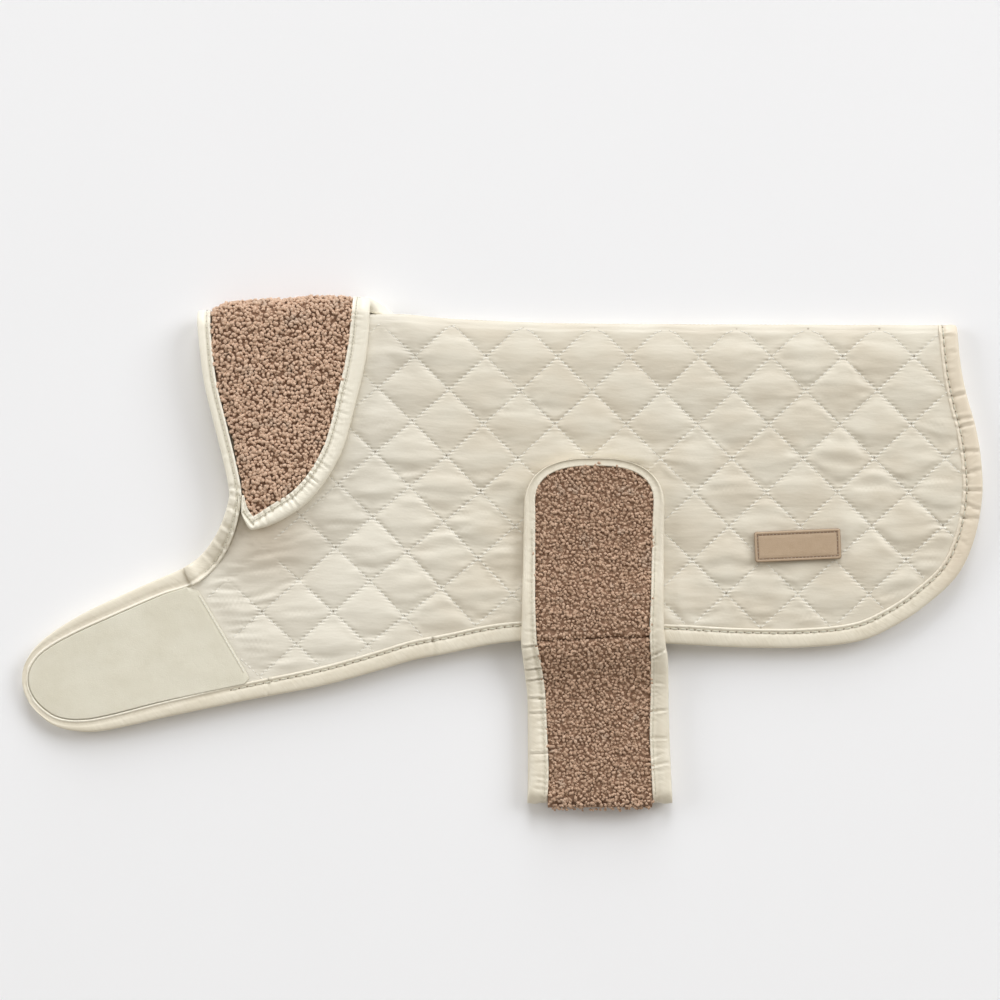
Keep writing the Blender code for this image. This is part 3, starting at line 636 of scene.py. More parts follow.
def addPiece(name, points, faces, material, attributes=None):
    mesh = bpy.data.meshes.new(name)
    mesh.from_pydata(((points - origin) * mm).tolist(), [], [tuple(face) for face in faces])
    for label, values in (attributes or {}).items():
        values = np.asarray(values, np.float32)
        kind = "FLOAT_VECTOR" if values.ndim == 2 else "FLOAT"
        mesh.attributes.new(label, kind, "POINT").data.foreach_set("vector" if values.ndim == 2 else "value",
                                                                   values.ravel())
    mesh.shade_smooth()
    if material:
        mesh.materials.append(material)
    mesh.validate()
    mesh.update()
    piece = bpy.data.objects.new(name, mesh)
    scene.collection.objects.link(piece)
    return piece


def facesInside(outline, innerPoints):
    corners = [tuple(point) for point in outline] + [tuple(point) for point in innerPoints]
    points, _, faces, *_ = delaunay_2d_cdt(corners, [], [list(range(len(outline)))], 1, 1e-4)
    return np.array([tuple(point) for point in points]), faces


def slabPiece(name, material, ground, outline, outerPoints, innerPoints, outer, inner, describe):
    count = len(outline)
    outerFlat, outerFaces = facesInside(outline, outerPoints)
    innerFlat, innerFaces = facesInside(outline, innerPoints)
    points = np.vstack([ground.place(outerFlat, outer(outerFlat)), ground.place(innerFlat, inner(innerFlat))])
    shift = len(outerFlat)
    faces = [tuple(reversed(face)) for face in outerFaces]
    faces += [tuple(index + shift for index in face) for face in innerFaces]
    clockwise = np.sum(outline[:, 0] * np.roll(outline[:, 1], -1) - np.roll(outline[:, 0], -1) * outline[:, 1]) < 0
    for index in range(count):
        beside = (index + 1) % count
        rim = (index, beside, beside + shift, index + shift)
        faces.append(tuple(reversed(rim)) if clockwise else rim)
    flat = np.vstack([outerFlat, innerFlat])
    isOuter = np.arange(len(flat)) < shift
    return addPiece(name, points, faces, material, describe(flat, isOuter))


def stripPiece(name, material, ground, path, normals, widths, turns, low, high, section, zone, crimp, warm=None,
               groove=1.0, cord=1.0, pale=0.0):
    # A bound edge: each row of the section is (share of the band, millimetres back from the inner end,
    # share of the height, millimetres above it).
    across = []
    out = []
    span = widths + turns
    depth = crimp(path)
    bottom = low(path)
    top = high(path)
    for share, back, rise, above in section:
        place = share * (span - zone) + (zone - back)
        place = np.where(span > zone, place, (share * 0.4 + 0.6 * (1 - back / zone)) * span)
        across.append(place)
        crimped = depth(place, span) * max(rise - 0.45, 0.0) / 0.55
        relief = above * (groove if above < 0 < rise and 1.5 < back < zone else cord if back < 1.5 else 1.0)
        out.append(bottom + (top - bottom) * rise + relief * np.minimum(span / zone, 1.0) + crimped)
    points = np.concatenate([ground.place(path + normals * place[:, None], height)
                             for place, height in zip(across, out)])
    count = len(path)
    rows = len(section)
    faces = []
    for row in range(rows):
        beside = (row + 1) % rows
        for index in range(count - 1):
            faces.append((row * count + index, row * count + index + 1,
                          beside * count + index + 1, beside * count + index))
    faces.append([row * count for row in range(rows)])
    faces.append([row * count + count - 1 for row in reversed(range(rows))])
    warmth = np.zeros(count) if warm is None else warm(path)
    strip = np.column_stack([np.tile(lengthAlong(path), rows), np.concatenate(across), np.tile(warmth, rows)])
    # rows of the raised lip get a painted highlight, stronger where the cord stands out; the given amount of painted
    # light is added over the whole strip
    paintedHighlight = [1.0 if 0.2 < back < 1.38 and rise > 0.9 and above > -0.33 else 0.0 for _, back, rise, above in section]
    paintedHighlight = np.repeat(paintedHighlight, count) * np.tile(np.full(count, 0.3) + 0.9 * (cord - 1.0), rows)
    paintedHighlight = paintedHighlight + np.tile(np.full(count, 1.0) * pale, rows)
    return addPiece(name, points, faces, material, {"strip": strip, "paintedHighlight": paintedHighlight})


def turnOutward(piece):
    mesh = piece.data
    mesh.calc_loop_triangles()
    co = np.array([v.co for v in mesh.vertices])
    tri = np.array([t.vertices[:] for t in mesh.loop_triangles])
    a, b, c = co[tri[:, 0]], co[tri[:, 1]], co[tri[:, 2]]
    volume = np.einsum("ij,ij->i", a, np.cross(b, c)).sum() / 6
    if volume < 0:
        mesh.flip_normals()
    return piece


def crimpMaker(seed, spacing, depth, slant, width, zones=(), placed=()):
    # Small cross folds in a binding, deepest at its stitching. A zone is (start, end, how much deeper,
    # how much of the slant is left). A placed fold is (along, down, depth, slant, half width).
    random = np.random.default_rng(seed)

    def crimp(path):
        length = lengthAlong(path)
        folds = []
        at = random.uniform(0.0, spacing[1])
        while at < length[-1]:
            more, slanted = next((rest for start, end, *rest in zones if start < at < end), (1.0, 1.0))
            folds.append((at, random.uniform(*depth) * more, random.uniform(*slant) * slanted,
                          random.uniform(*width), random.uniform(0.45, 1.0)))
            at += random.uniform(*spacing)
        for along, down, deep, lean, wide in placed:
            nearest = np.argmin(np.hypot(path[:, 0] - along, path[:, 1] - down - 2.6))
            folds.append((length[nearest], deep, lean, wide, 1.25))

        def depthAt(place, span):
            total = np.zeros(len(length))
            fall = np.clip(place / span, 0.0, 1.0)
            for centre, deep, lean, wide, reach in folds:
                near = np.abs(length - centre) < 9.0
                gap = length[near] - centre - lean * (place[near] - span[near])
                envelope = smooth((fall[near] - 1.0 + reach) / 0.35) * (1.0 - 0.6 * (fall[near] > 0.97))
                total[near] -= deep * envelope * (bell(gap, wide) - 0.5 * bell(gap - 1.6 * wide, wide))
            return total

        return depthAt

    return crimp


# Geometry Nodes that repeat stitches and curls.

def newTree(name, numbers, others):
    group = bpy.data.node_groups.new(name, "GeometryNodeTree")
    for way in ("OUTPUT", "INPUT"):
        group.interface.new_socket("Geometry", in_out=way, socket_type="NodeSocketGeometry")
    for label, kind in {**dict.fromkeys(numbers, "Float"), **others}.items():
        group.interface.new_socket(label, in_out="INPUT", socket_type="NodeSocket" + kind)
    tree = NodeTree(group)
    return tree, tree.add("NodeGroupInput")


def stitchTree():
    # Each vertex is a stitch, or where its hole attribute is 1 the needle hole between two.
    tree, given = newTree("stitchRow", ("Length", "Thickness", "Hole"),
                          {"Material": "Material", "Hole material": "Material"})
    isHole = tree.named("hole")
    aim, lift = (tree.named(name, "FLOAT_VECTOR") for name in ("aim", "lift"))
    along = tree.add("FunctionNodeAlignRotationToVector", {"axis": "Z"}, {"Vector": aim})
    turned = tree.add("FunctionNodeAlignRotationToVector", {"axis": "X", "pivot_axis": "Z"},
                      {"Rotation": along, "Vector": lift})
    points = tree.add("GeometryNodeMeshToPoints", {}, {"Mesh": given.of("Geometry")})
    made = []
    for segments, rings, chosen, width, length, material in (
            (6, 5, 1.0 - isHole, given.of("Thickness"), given.of("Length"), given.of("Material")),
            (5, 4, isHole, given.of("Hole"), given.of("Hole") * 1.3, given.of("Hole material"))):
        ball = tree.add("GeometryNodeMeshUVSphere", {}, {"Segments": segments, "Rings": rings, "Radius": 0.5})
        shaped = tree.add("GeometryNodeTransform", {}, {"Geometry": ball, "Scale": tree.vector(width, width, length)})
        painted = tree.add("GeometryNodeSetMaterial", {}, {"Geometry": shaped, "Material": material})
        made.append(tree.add("GeometryNodeInstanceOnPoints", {}, {"Points": points, "Selection": chosen,
                                                                  "Instance": painted, "Rotation": turned}))
    solid = tree.add("GeometryNodeRealizeInstances", {}, {0: tree.add("GeometryNodeJoinGeometry", {}, {0: made})})
    soft = tree.add("GeometryNodeSetShadeSmooth", {}, {"Geometry": solid})
    tree.add("NodeGroupOutput", {}, {"Geometry": soft})
    return tree.tree


curlShape = {
    # turns, points, and as shares of the curl's radius: radius at the start, radius at the end, height
    "kinds": ((0.55, 9, 0.70, 0.95, 0.6), (0.8, 8, 0.40, 0.85, 0.9), (1.1, 6, 0.15, 0.75, 1.2),
              (0.4, 12, 1.1, 1.0, 0.7)),
    "thickest": 1.1,
    "thinning": 2.2,
    "sides": 5,
    "sizes": (0.72, 1.22),
    "densest": 1.0e6,
    "seeds": {"spin": 31, "size": 7, "kind": 11, "tone": 23},
}


def curlTree():
    # A curl is a short tapered piece of yarn wound into a spiral. Each is turned and tipped at random.
    tree, given = newTree("teddyPile", ("Spacing", "Curl radius", "Yarn radius", "Tip", "Dark", "Light"),
                          {"Seed": "Int", "Material": "Material"})
    seeds = curlShape["seeds"]

    def drawn(low, high, seed, kind="FLOAT"):
        return tree.add("FunctionNodeRandomValue", {"data_type": kind}, {"Min": low, "Max": high, "Seed": seed})

    def turnedBy(rotation, angles):
        return tree.add("FunctionNodeRotateRotation", {"rotation_space": "LOCAL"},
                        {0: rotation, 1: tree.add("FunctionNodeEulerToRotation", {}, {0: angles})})

    pile = tree.named("pile")
    spots = tree.add("GeometryNodeDistributePointsOnFaces", {"distribute_method": "POISSON"},
                     {"Mesh": given.of("Geometry"), "Distance Min": given.of("Spacing"),
                      "Density Max": curlShape["densest"], "Density Factor": pile, "Seed": given.of("Seed")})
    radius = given.of("Curl radius")
    kinds = []
    for rotations, resolution, start, end, height in curlShape["kinds"]:
        spiral = tree.add("GeometryNodeCurveSpiral", {},
                          {"Resolution": resolution, "Rotations": rotations, "Start Radius": radius * start,
                           "End Radius": radius * end, "Height": radius * height})
        fromMiddle = tree.add("GeometryNodeSplineParameter").of("Factor") - 0.5
        taper = curlShape["thickest"] - fromMiddle * fromMiddle * curlShape["thinning"]
        thinned = tree.add("GeometryNodeSetCurveRadius", {}, {"Curve": spiral, "Radius": taper})
        ring = tree.add("GeometryNodeCurvePrimitiveCircle", {},
                        {"Resolution": curlShape["sides"], "Radius": given.of("Yarn radius")})
        tube = tree.add("GeometryNodeCurveToMesh", {},
                        {"Curve": thinned, "Profile Curve": ring, "Scale": taper, "Fill Caps": True})
        kinds.append(tree.add("GeometryNodeGeometryToInstance", {}, {0: tube}))
    tip = given.of("Tip")
    tipped = drawn(tree.vector(tip * -1.0, tip * -1.0, 0.0), tree.vector(tip, tip, math.tau), given.of("Seed"),
                   "FLOAT_VECTOR")
    facing = tree.add("FunctionNodeAlignRotationToVector", {"axis": "Z"}, {"Vector": spots.of("Normal")})
    spun = turnedBy(facing, tree.vector(0.0, 0.0, drawn(0.0, math.tau, seeds["spin"])))
    size = drawn(*curlShape["sizes"], seeds["size"])
    grown = tree.add("GeometryNodeInstanceOnPoints", {},
                     {"Points": spots.of("Points"), "Instance": tree.add("GeometryNodeJoinGeometry", {}, {0: kinds}),
                      "Pick Instance": True, "Instance Index": drawn(0, len(kinds) - 1, seeds["kind"], "INT"),
                      "Rotation": turnedBy(spun, tipped), "Scale": size * (pile * 0.5 + 0.5)})
    toned = tree.add("GeometryNodeStoreNamedAttribute", {"data_type": "FLOAT", "domain": "INSTANCE"},
                     {"Geometry": grown, "Name": "tone",
                      "Value": drawn(given.of("Dark"), given.of("Light"), seeds["tone"])})
    solid = tree.add("GeometryNodeRealizeInstances", {}, {"Geometry": toned})
    soft = tree.add("GeometryNodeSetShadeSmooth", {}, {"Geometry": solid})
    painted = tree.add("GeometryNodeSetMaterial", {}, {"Geometry": soft, "Material": given.of("Material")})
    tree.add("NodeGroupOutput", {}, {"Geometry": painted})
    return tree.tree


def grow(name, carrier, group, values):
    modifier = carrier.modifiers.new("grow", "NODES")
    modifier.node_group = group
    for item in group.interface.items_tree:
        if item.in_out == "INPUT" and item.name in values:
            modifier[item.identifier] = values[item.name]
    bpy.context.view_layer.update()
    evaluated = carrier.evaluated_get(bpy.context.evaluated_depsgraph_get())
    mesh = bpy.data.meshes.new_from_object(evaluated)
    mesh.name = name
    carrier.modifiers.remove(modifier)
    bpy.data.objects.remove(carrier)
    piece = bpy.data.objects.new(name, mesh)
    scene.collection.objects.link(piece)
    return piece


def rowCarrier(name, rows):  # each row: places, directions, lifts, and 1 for a hole
    places, aims, lifts, holes = (np.concatenate([row[index] for row in rows]) for index in range(4))
    mesh = bpy.data.meshes.new(name)
    mesh.from_pydata(((places - origin) * mm).tolist(), [], [])
    for label, values in (("aim", aims), ("lift", lifts)):
        layer = mesh.attributes.new(label, "FLOAT_VECTOR", "POINT")
        layer.data.foreach_set("vector", values.astype(np.float32).ravel())
    mesh.attributes.new("hole", "FLOAT", "POINT").data.foreach_set("value", holes.astype(np.float32))
    carrier = bpy.data.objects.new(name, mesh)
    scene.collection.objects.link(carrier)
    return carrier


holeSunk = 0.1


def unit(vectors):
    return vectors / np.maximum(np.linalg.norm(vectors, axis=1), 1e-6)[:, None]


def seamRow(ground, flat, out):  # stitches and holes take turns; holes are sunk
    holes = (np.arange(len(flat)) % 2 == 0).astype(float)
    surface = ground.place(flat, out)
    lifts = ground.place(flat, out + 1.0) - surface
    return ground.place(flat, out - holeSunk * holes), unit(np.gradient(surface, axis=0)), unit(lifts), holes


def evenly(flat, pitch):  # points half a stitch apart
    length = lengthAlong(flat)
    at = np.linspace(0.0, length[-1], 2 * max(1, round(length[-1] / pitch)) + 1)
    return np.column_stack([np.interp(at, length, flat[:, 0]), np.interp(at, length, flat[:, 1])])


finish = {
    "nylon": quiltedNylon(),
    "satin": satinBinding(),
    "curls": teddyCurls(),
    "ground": teddyGround(),
    "panel": hookAndLoop(),
    "leather": leatherette(),
    "thread": sewingThread("creamThread", (0.95, 0.925, 0.84)),
    "softThread": sewingThread("softThread", (0.72, 0.69, 0.56)),
    "brownThread": sewingThread("brownThread", (0.24, 0.14, 0.08)),
    "needleHole": sewingThread("needleHole", (0.30, 0.25, 0.175)),
    "softHole": sewingThread("softHole", (0.54, 0.49, 0.38)),
}
print("finishes made")


# Body.

bodyCut = {
    "middle": 5.65,
    "foldRadius": 6.0,
    "liningGap": 0.15,
    "bightGap": 1.05,
    "bightReach": 10.0,
    "seamGap": 0.3,
    "farFace": 5.65,
    "crestFace": 5.5,
    "crestSink": 1.8,         # the fold is flatter than a half circle: the top slopes up from it
    "crestSinkFrom": 4.5,
    "crestSinkReach": 13.0,
    "tongueThinning": 0.3,    # the tongue is pressed flatter towards its end
    "tongueThinFrom": (-45.0, -100.0),
    "seamFace": 4.2,
    "collarLift": 6.0,
    "liftReach": 35.0,
    "rootRise": 3.3,
    "rootReach": 22.0,
    # crest of the fold: along, down
    "crest": ((-10.0, -2.8), (60.0, -3.6), (117.0, -5.0), (140.0, -3.0), (165.0, -1.7), (209.0, 0.0), (460.0, 1.3)),
    # bound edge of the near half: along, down, width of the binding, how far its turned edge reaches past it
    "neckEdge": ((-0.8, -2.8, 8.2, 0.0), (0.2, 9.0, 7.8, 0.0), (3.7, 36.3, 7.4, 0.0), (10.4, 63.8, 7.3, 0.0),
                 (17.0, 92.0, 7.3, 0.0), (17.6, 103.0, 7.4, 0.4), (11.6, 120.4, 8.6, 1.0), (2.6, 133.6, 10.0, 1.2),
                 (-7.0, 141.5, 10.4, 1.2)),
    "tongueEdge": ((-24.9, 149.6, 8.8, 0.9), (-59.7, 165.3, 8.4, 0.6), (-74.8, 173.4, 7.4, 0.5),
                   (-88.7, 182.7, 5.8, 0.5), (-97.4, 191.4, 4.4, 0.4), (-102.4, 201.8, 3.4, 0.4),
                   (-102.7, 211.1, 3.2, 0.4), (-99.8, 219.2, 3.4, 0.4), (-94.0, 226.8, 3.9, 0.4),
                   (-85.3, 233.7, 4.9, 0.5), (-73.7, 237.2, 6.0, 0.6), (-57.4, 237.5, 7.6, 0.6),
                   (-16.8, 228.8, 8.7, 0.8)),
    "hemEdge": ((28.4, 219.4, 8.8, 1.6), (76.0, 210.0, 9.0, 2.2), (107.1, 201.3, 9.0, 2.2), (139.7, 193.2, 9.0, 2.2),
                (186.2, 185.0, 9.2, 2.2), (232.6, 185.6, 9.2, 2.2), (272.6, 186.6, 9.2, 2.2),
                (311.5, 188.8, 9.2, 2.2), (350.3, 188.9, 9.0, 2.2)),
    "tailEdge": ((383.4, 185.1, 9.0, 2.2), (403.5, 176.4, 9.0, 2.2), (421.5, 164.5, 9.0, 2.2),
                 (440.0, 147.0, 9.2, 2.2), (449.5, 127.0, 9.4, 2.2), (454.4, 101.8, 9.6, 2.2),
                 (453.8, 80.0, 9.8, 2.2), (450.4, 60.0, 9.6, 2.2), (445.8, 43.8, 9.2, 2.2), (442.0, 25.0, 8.8, 2.2),
                 (440.0, 1.2, 8.8, 2.2)),
    "edgeStep": 1.4,
    "farThinning": 4,        # the hidden half keeps one point in this many
}

quilting = {
    "puff": 1.55,
    "puffFrom": (3.0, 23.0),    # the puffs grow over this run away from the fold
    "sharpness": 2.0,
    "edgeFade": 12.0,
    "along": 41.35,
    "down": 39.3,
    "origin": (207.9, 20.3),
    "slant": 0.04,
    "squeeze": 0.945,
    "squeezeEnds": (82.0, 186.0),
    "squeezeDown": 10.4,
    "steps": 20,
    "crowding": 0.32,        # points stand closer together beside a seam
    "pressed": {"collar": (0.35, 14.0), "strap": (0.4, 10.0), "label": (0.45, 8.0), "panel": (0.0, 14.0),
                "throat": (0.12, 12.0)},
    "throatCentre": (27.0, 136.0),
    "throatRadius": 17.0,
    "unsewn": 22.0,          # round the throat's centre the seams don't show
    "stitchLength": 2.2,
    "stitchThickness": 0.48,
    "holeSize": 0.36,
    "stitchLift": 0.06,
    "shortestRow": 4,        # shorter runs of stitches are left out
    # centre and reach of the painted warm shade beside the collar's tip
    "paintedShadeCentre": (40.0, 124.0),
    "paintedShadeReach": 24.0,
    "paintedLightTo": (85.0, 175.0),  # the painted light towards the neck runs out between these
    "seams": (-14, 12),      # numbers of the first and last seam
    "low": (-60.0, -10.0),   # the sewn part of the near half lies between these
    "high": (460.0, 250.0),
    "coveredMargin": 5.0,    # under the collar, panel and strap points stand further apart
    "coveredThinning": 4,
    "fullness": (0.84, 0.30),     # least, and what chance adds
    "fullnessSeed": 5,
    "drawnInFrom": (4.0, 20.0),   # along the back the seams hardly draw the cloth in
}

wrinkles = {
    # layers of noise: how long their lumps are along and down, and their seeds
    "drift": ((38.0, 21.0), 3),
    "bands": ((25.0, 6.2), 5),
    "tucks": ((11.0, 3.0), 8),
    "gathers": ((6.0, 2.3), 13),
    "loose": ((46.0, 40.0), 21),
    "driftDown": 2.6,
    "looseFrom": (-0.5, 0.4),
    "bandDepth": 0.75,
    "bandClear": 5.0,         # how far from a seam they reach their full depth
    "tuckDepth": 0.42,
    "tuckClear": 2.0,
    "gatherDepth": 0.36,
    "gatherPlace": (1.8, 1.7),    # how far from a seam they lie, and their reach
    "edgeReach": 6.0,
    "panelReach": 3.0,
    "backFrom": (4.0, 18.0),      # they fade out round the fold
}

collarCut = {
    "middle": 11.5,
    "inner": 5.8,
    "outer": 11.5,
    "seamFace": 9.3,
    "edgeFace": 10.6,
    "taper": 9.0,
    "bindingFace": 10.6,
    "cornerSlide": 15.0,
    "cornerRun": 13.0,
    "cornerReach": 9.0,
    "cornerWidening": 7.0,
    "cornerSlideFrom": (60.0, 98.0),
    "cornerWall": 2.6,
    "plainFrom": (9.0, 16.0),    # the far half has no curls and lies full
    "cornerPatch": ((106.0, 9.0), (114.6, 0.0), (112.0, -12.0)),   # where the far corner lies
    "crest": ((5.0, -10.2), (16.0, -12.0), (28.9, -13.1), (51.0, -14.2), (80.6, -15.9), (91.0, -15.5), (101.0, -13.8),
              (118.0, -9.8)),
    "seam": ((7.8, -9.4), (7.9, 8.1), (8.9, 22.9), (11.4, 37.7), (15.2, 52.5), (20.4, 71.0), (24.0, 88.0),
             (25.6, 99.0)),
    "edge": ((25.6, 100.6, 1.2), (25.4, 110.6, 4.4), (28.0, 117.0, 6.0), (31.0, 120.6, 6.8), (35.6, 119.9, 8.4),
             (41.5, 118.2, 10.0), (51.0, 113.6, 11.0), (62.1, 106.0, 11.0), (73.3, 93.3, 11.0), (82.9, 76.3, 11.0),
             (88.2, 60.0, 11.0), (91.9, 45.2, 11.2), (96.6, 25.0, 11.2), (98.8, 7.0, 10.8), (99.6, -13.8, 10.0)),
    "step": 1.0,
}

strapCut = {
    "tipLength": 30.0,
    "tipPower": 2.6,
    "foldRadius": 1.2,
    "bindingDrop": 0.6,
    "bindingFloor": 0.25,
    # down, height, centre, half width, binding width, thickness
    "rear": ((166.0, 8.8, 229.5, 41.0, 9.0, 3.0), (186.0, 8.8, 229.5, 41.0, 9.5, 3.0),
             (197.0, 7.1, 230.3, 41.2, 10.4, 4.4), (209.0, 5.5, 231.3, 41.0, 10.4, 5.4),
             (240.0, 5.4, 232.0, 41.2, 10.6, 5.4), (268.0, 5.3, 232.6, 41.8, 11.4, 5.3)),
    "fold": (277.6, 6.4, 232.6, 42.1, 11.5, 5.2),
    "front": ((262.0, 7.0, 232.6, 41.0, 11.2, 5.4), (240.0, 6.3, 231.7, 40.4, 10.7, 5.4),
              (216.0, 6.5, 231.4, 41.0, 10.5, 5.4), (204.0, 8.5, 230.6, 41.6, 10.4, 5.4),
              (194.0, 12.0, 229.8, 42.0, 10.0, 5.4), (186.0, 14.2, 228.6, 41.8, 9.2, 5.4),
              (176.0, 14.9, 228.2, 41.2, 8.4, 5.4), (160.0, 14.8, 228.3, 41.0, 7.6, 5.4),
              (142.0, 12.4, 228.6, 40.8, 7.2, 5.4), (125.0, 11.5, 228.8, 40.7, 6.9, 5.4),
              (109.0, 11.4, 229.1, 40.6, 6.5, 5.4), (79.2, 11.4, 229.1, 40.6, 4.4, 5.4)),
    "pressTop": 84.0,
    "creases": ((183.0, 2.3, 0.8), (264.0, 0.7, 1.2)),   # down, depth, half width
    "creaseLean": -0.038,
    "pinch": 4.3,             # how far the binding is drawn in at the lower fold
    "foldPuff": 1.6,          # how much fuller the pile stands round it
}

panelCut = {
    "low": 4.5,
    "high": 5.25,
    "inset": 0.5,
    "end": ((29.3, 206.4), (16.4, 184.2), (2.9, 161.2), (-0.4, 155.8)),
    "rim": 0.25,
    "endDrop": 0.7,
}

labelCut = {
    "low": 6.1,
    "high": 7.6,
    "size": (50.0, 17.8),
    "tilt": math.radians(2.6),
    "corner": 1.6,
}


def strapFootprint(top, bottom, margin):
    _, _, centre, half, *_ = strapCut["front"][-2]
    half += margin
    return np.array([(centre - half, top), (centre + half, top), (centre + half, bottom), (centre - half, bottom)])


def roundedRectangle(centre, size, tilt, corner, arcPoints=4):
    outline = []
    for index, (right, low) in enumerate(((1, 1), (-1, 1), (-1, -1), (1, -1))):
        for step in range(arcPoints + 1):
            angle = (index + step / arcPoints) * quarterTurn
            x = right * (size[0] / 2 - corner) + corner * math.cos(angle)
            y = low * (size[1] / 2 - corner) + corner * math.sin(angle)
            outline.append((centre[0] + x * math.cos(tilt) + y * math.sin(tilt),
                            centre[1] - x * math.sin(tilt) + y * math.cos(tilt)))
    return np.array(outline)


collarDraft = curveThrough(collarCut["edge"], 10.0)[0][:, :2]
collarFootprint = np.vstack([collarCut["seam"], collarDraft[:-1], collarCut["cornerPatch"], collarDraft[-1:]])
rootFootprint = strapFootprint(162.0, 200.0, 3.0)
body = BodyFold(bodyCut["crest"], bodyCut["foldRadius"], bodyCut["middle"])
collarFold = CollarFold(collarCut["crest"], collarCut["outer"], collarCut["middle"])
strap = StrapRoute(strapCut)


def bodyPattern():
    rows = [(along, float(body.runAt(along, down)), width, turn)
            for part in ("neckEdge", "tongueEdge", "hemEdge", "tailEdge")
            for along, down, width, turn in bodyCut[part]]
    rows[0] = (rows[0][0], 0.0, *rows[0][2:])
    rows[-1] = (rows[-1][0], 0.0, *rows[-1][2:])
    far = [(along, -run, width, turn) for along, run, width, turn in rows[-2:0:-1]]
    loop = rows + far
    points, starts = curveThrough(loop, bodyCut["edgeStep"], closed=True)
    nearThroat = starts[len(bodyCut["neckEdge"]) - 1]
    farThroat = starts[len(loop) - len(bodyCut["neckEdge"]) + 1]
    normals = rightNormals(points[:, :2], closed=True)
    kept = (points[:, 1] > -14.0) | (np.arange(len(points)) % bodyCut["farThinning"] == 0)
    kept[[nearThroat, farThroat]] = True
    order = np.cumsum(kept) - 1
    return points[kept], normals[kept], order[nearThroat], order[farThroat]


bodyEdge, bodyNormals, nearThroat, farThroat = bodyPattern()
shellOutline = bodyEdge[:, :2] + bodyNormals * (bodyEdge[:, 2] + bodyCut["seamGap"])[:, None]


def panelOutline():
    first = nearThroat + 4
    stop = first
    while shellOutline[stop, 0] < panelCut["end"][0][0] - 2.0 or bodyEdge[stop, 1] < panelCut["end"][0][1] - 20.0:
        stop += 1
    edge = shellOutline[first:stop] + bodyNormals[first:stop] * panelCut["inset"]
    end = [(along, float(body.runAt(along, down))) for along, down in panelCut["end"]]
    across, _ = curveThrough(end, 2.0)
    return np.vstack([edge, across]), across


panelEdge, panelAcross = panelOutline()
labelPlaces = roundedRectangle(labelCentre, labelCut["size"], labelCut["tilt"], labelCut["corner"])


def quiltScale(along):
    return quilting["squeeze"] + (1.0 - quilting["squeeze"]) * ramp(along, quilting["squeezeEnds"])


def quiltPosition(flat):  # a seam lies where either number is whole
    atAlong, atDown = quilting["origin"]
    down = flat[:, 1] + body.crest(flat[:, 0]) - body.radius * (quarterTurn - 1.0)
    across = (flat[:, 0] - atAlong + quilting["slant"] * (down - atDown)) / quilting["along"]
    relaxed = (down - quilting["squeezeDown"]) / quiltScale(flat[:, 0]) + quilting["squeezeDown"]
    fall = (relaxed - atDown) / quilting["down"]
    return across + fall, across - fall


def quiltPoint(first, second):
    atAlong, atDown = quilting["origin"]
    across = (first + second) / 2.0
    fall = (first - second) / 2.0
    along = atAlong + across * quilting["along"]
    relaxed = fall * quilting["down"] + atDown - quilting["squeezeDown"]
    for _ in range(6):
        down = quilting["squeezeDown"] + relaxed * quiltScale(along)
        along = atAlong + across * quilting["along"] - quilting["slant"] * (down - atDown)
    return np.column_stack([along, down - body.crest(along) + body.radius * (quarterTurn - 1.0)])


def pressedShare(flat):
    places = np.column_stack([flat[:, 0], body.unrolled(flat)])
    share = smooth(distanceToLine(flat, shellOutline) / quilting["edgeFade"])
    fromThroat = np.linalg.norm(places - quilting["throatCentre"], axis=1)
    outside = {
        "collar": distanceOutside(places, collarFootprint),
        "strap": distanceOutside(places, strapFootprint(strapCut["pressTop"], 200.0, 0.0)),
        "label": distanceOutside(places, labelPlaces),
        "panel": distanceOutside(flat, panelEdge),
        "throat": np.maximum(fromThroat - quilting["throatRadius"], 0.0),
    }
    for name, distance in outside.items():
        left, reach = quilting["pressed"][name]
        share *= left + (1.0 - left) * smooth(distance / reach)
    return share


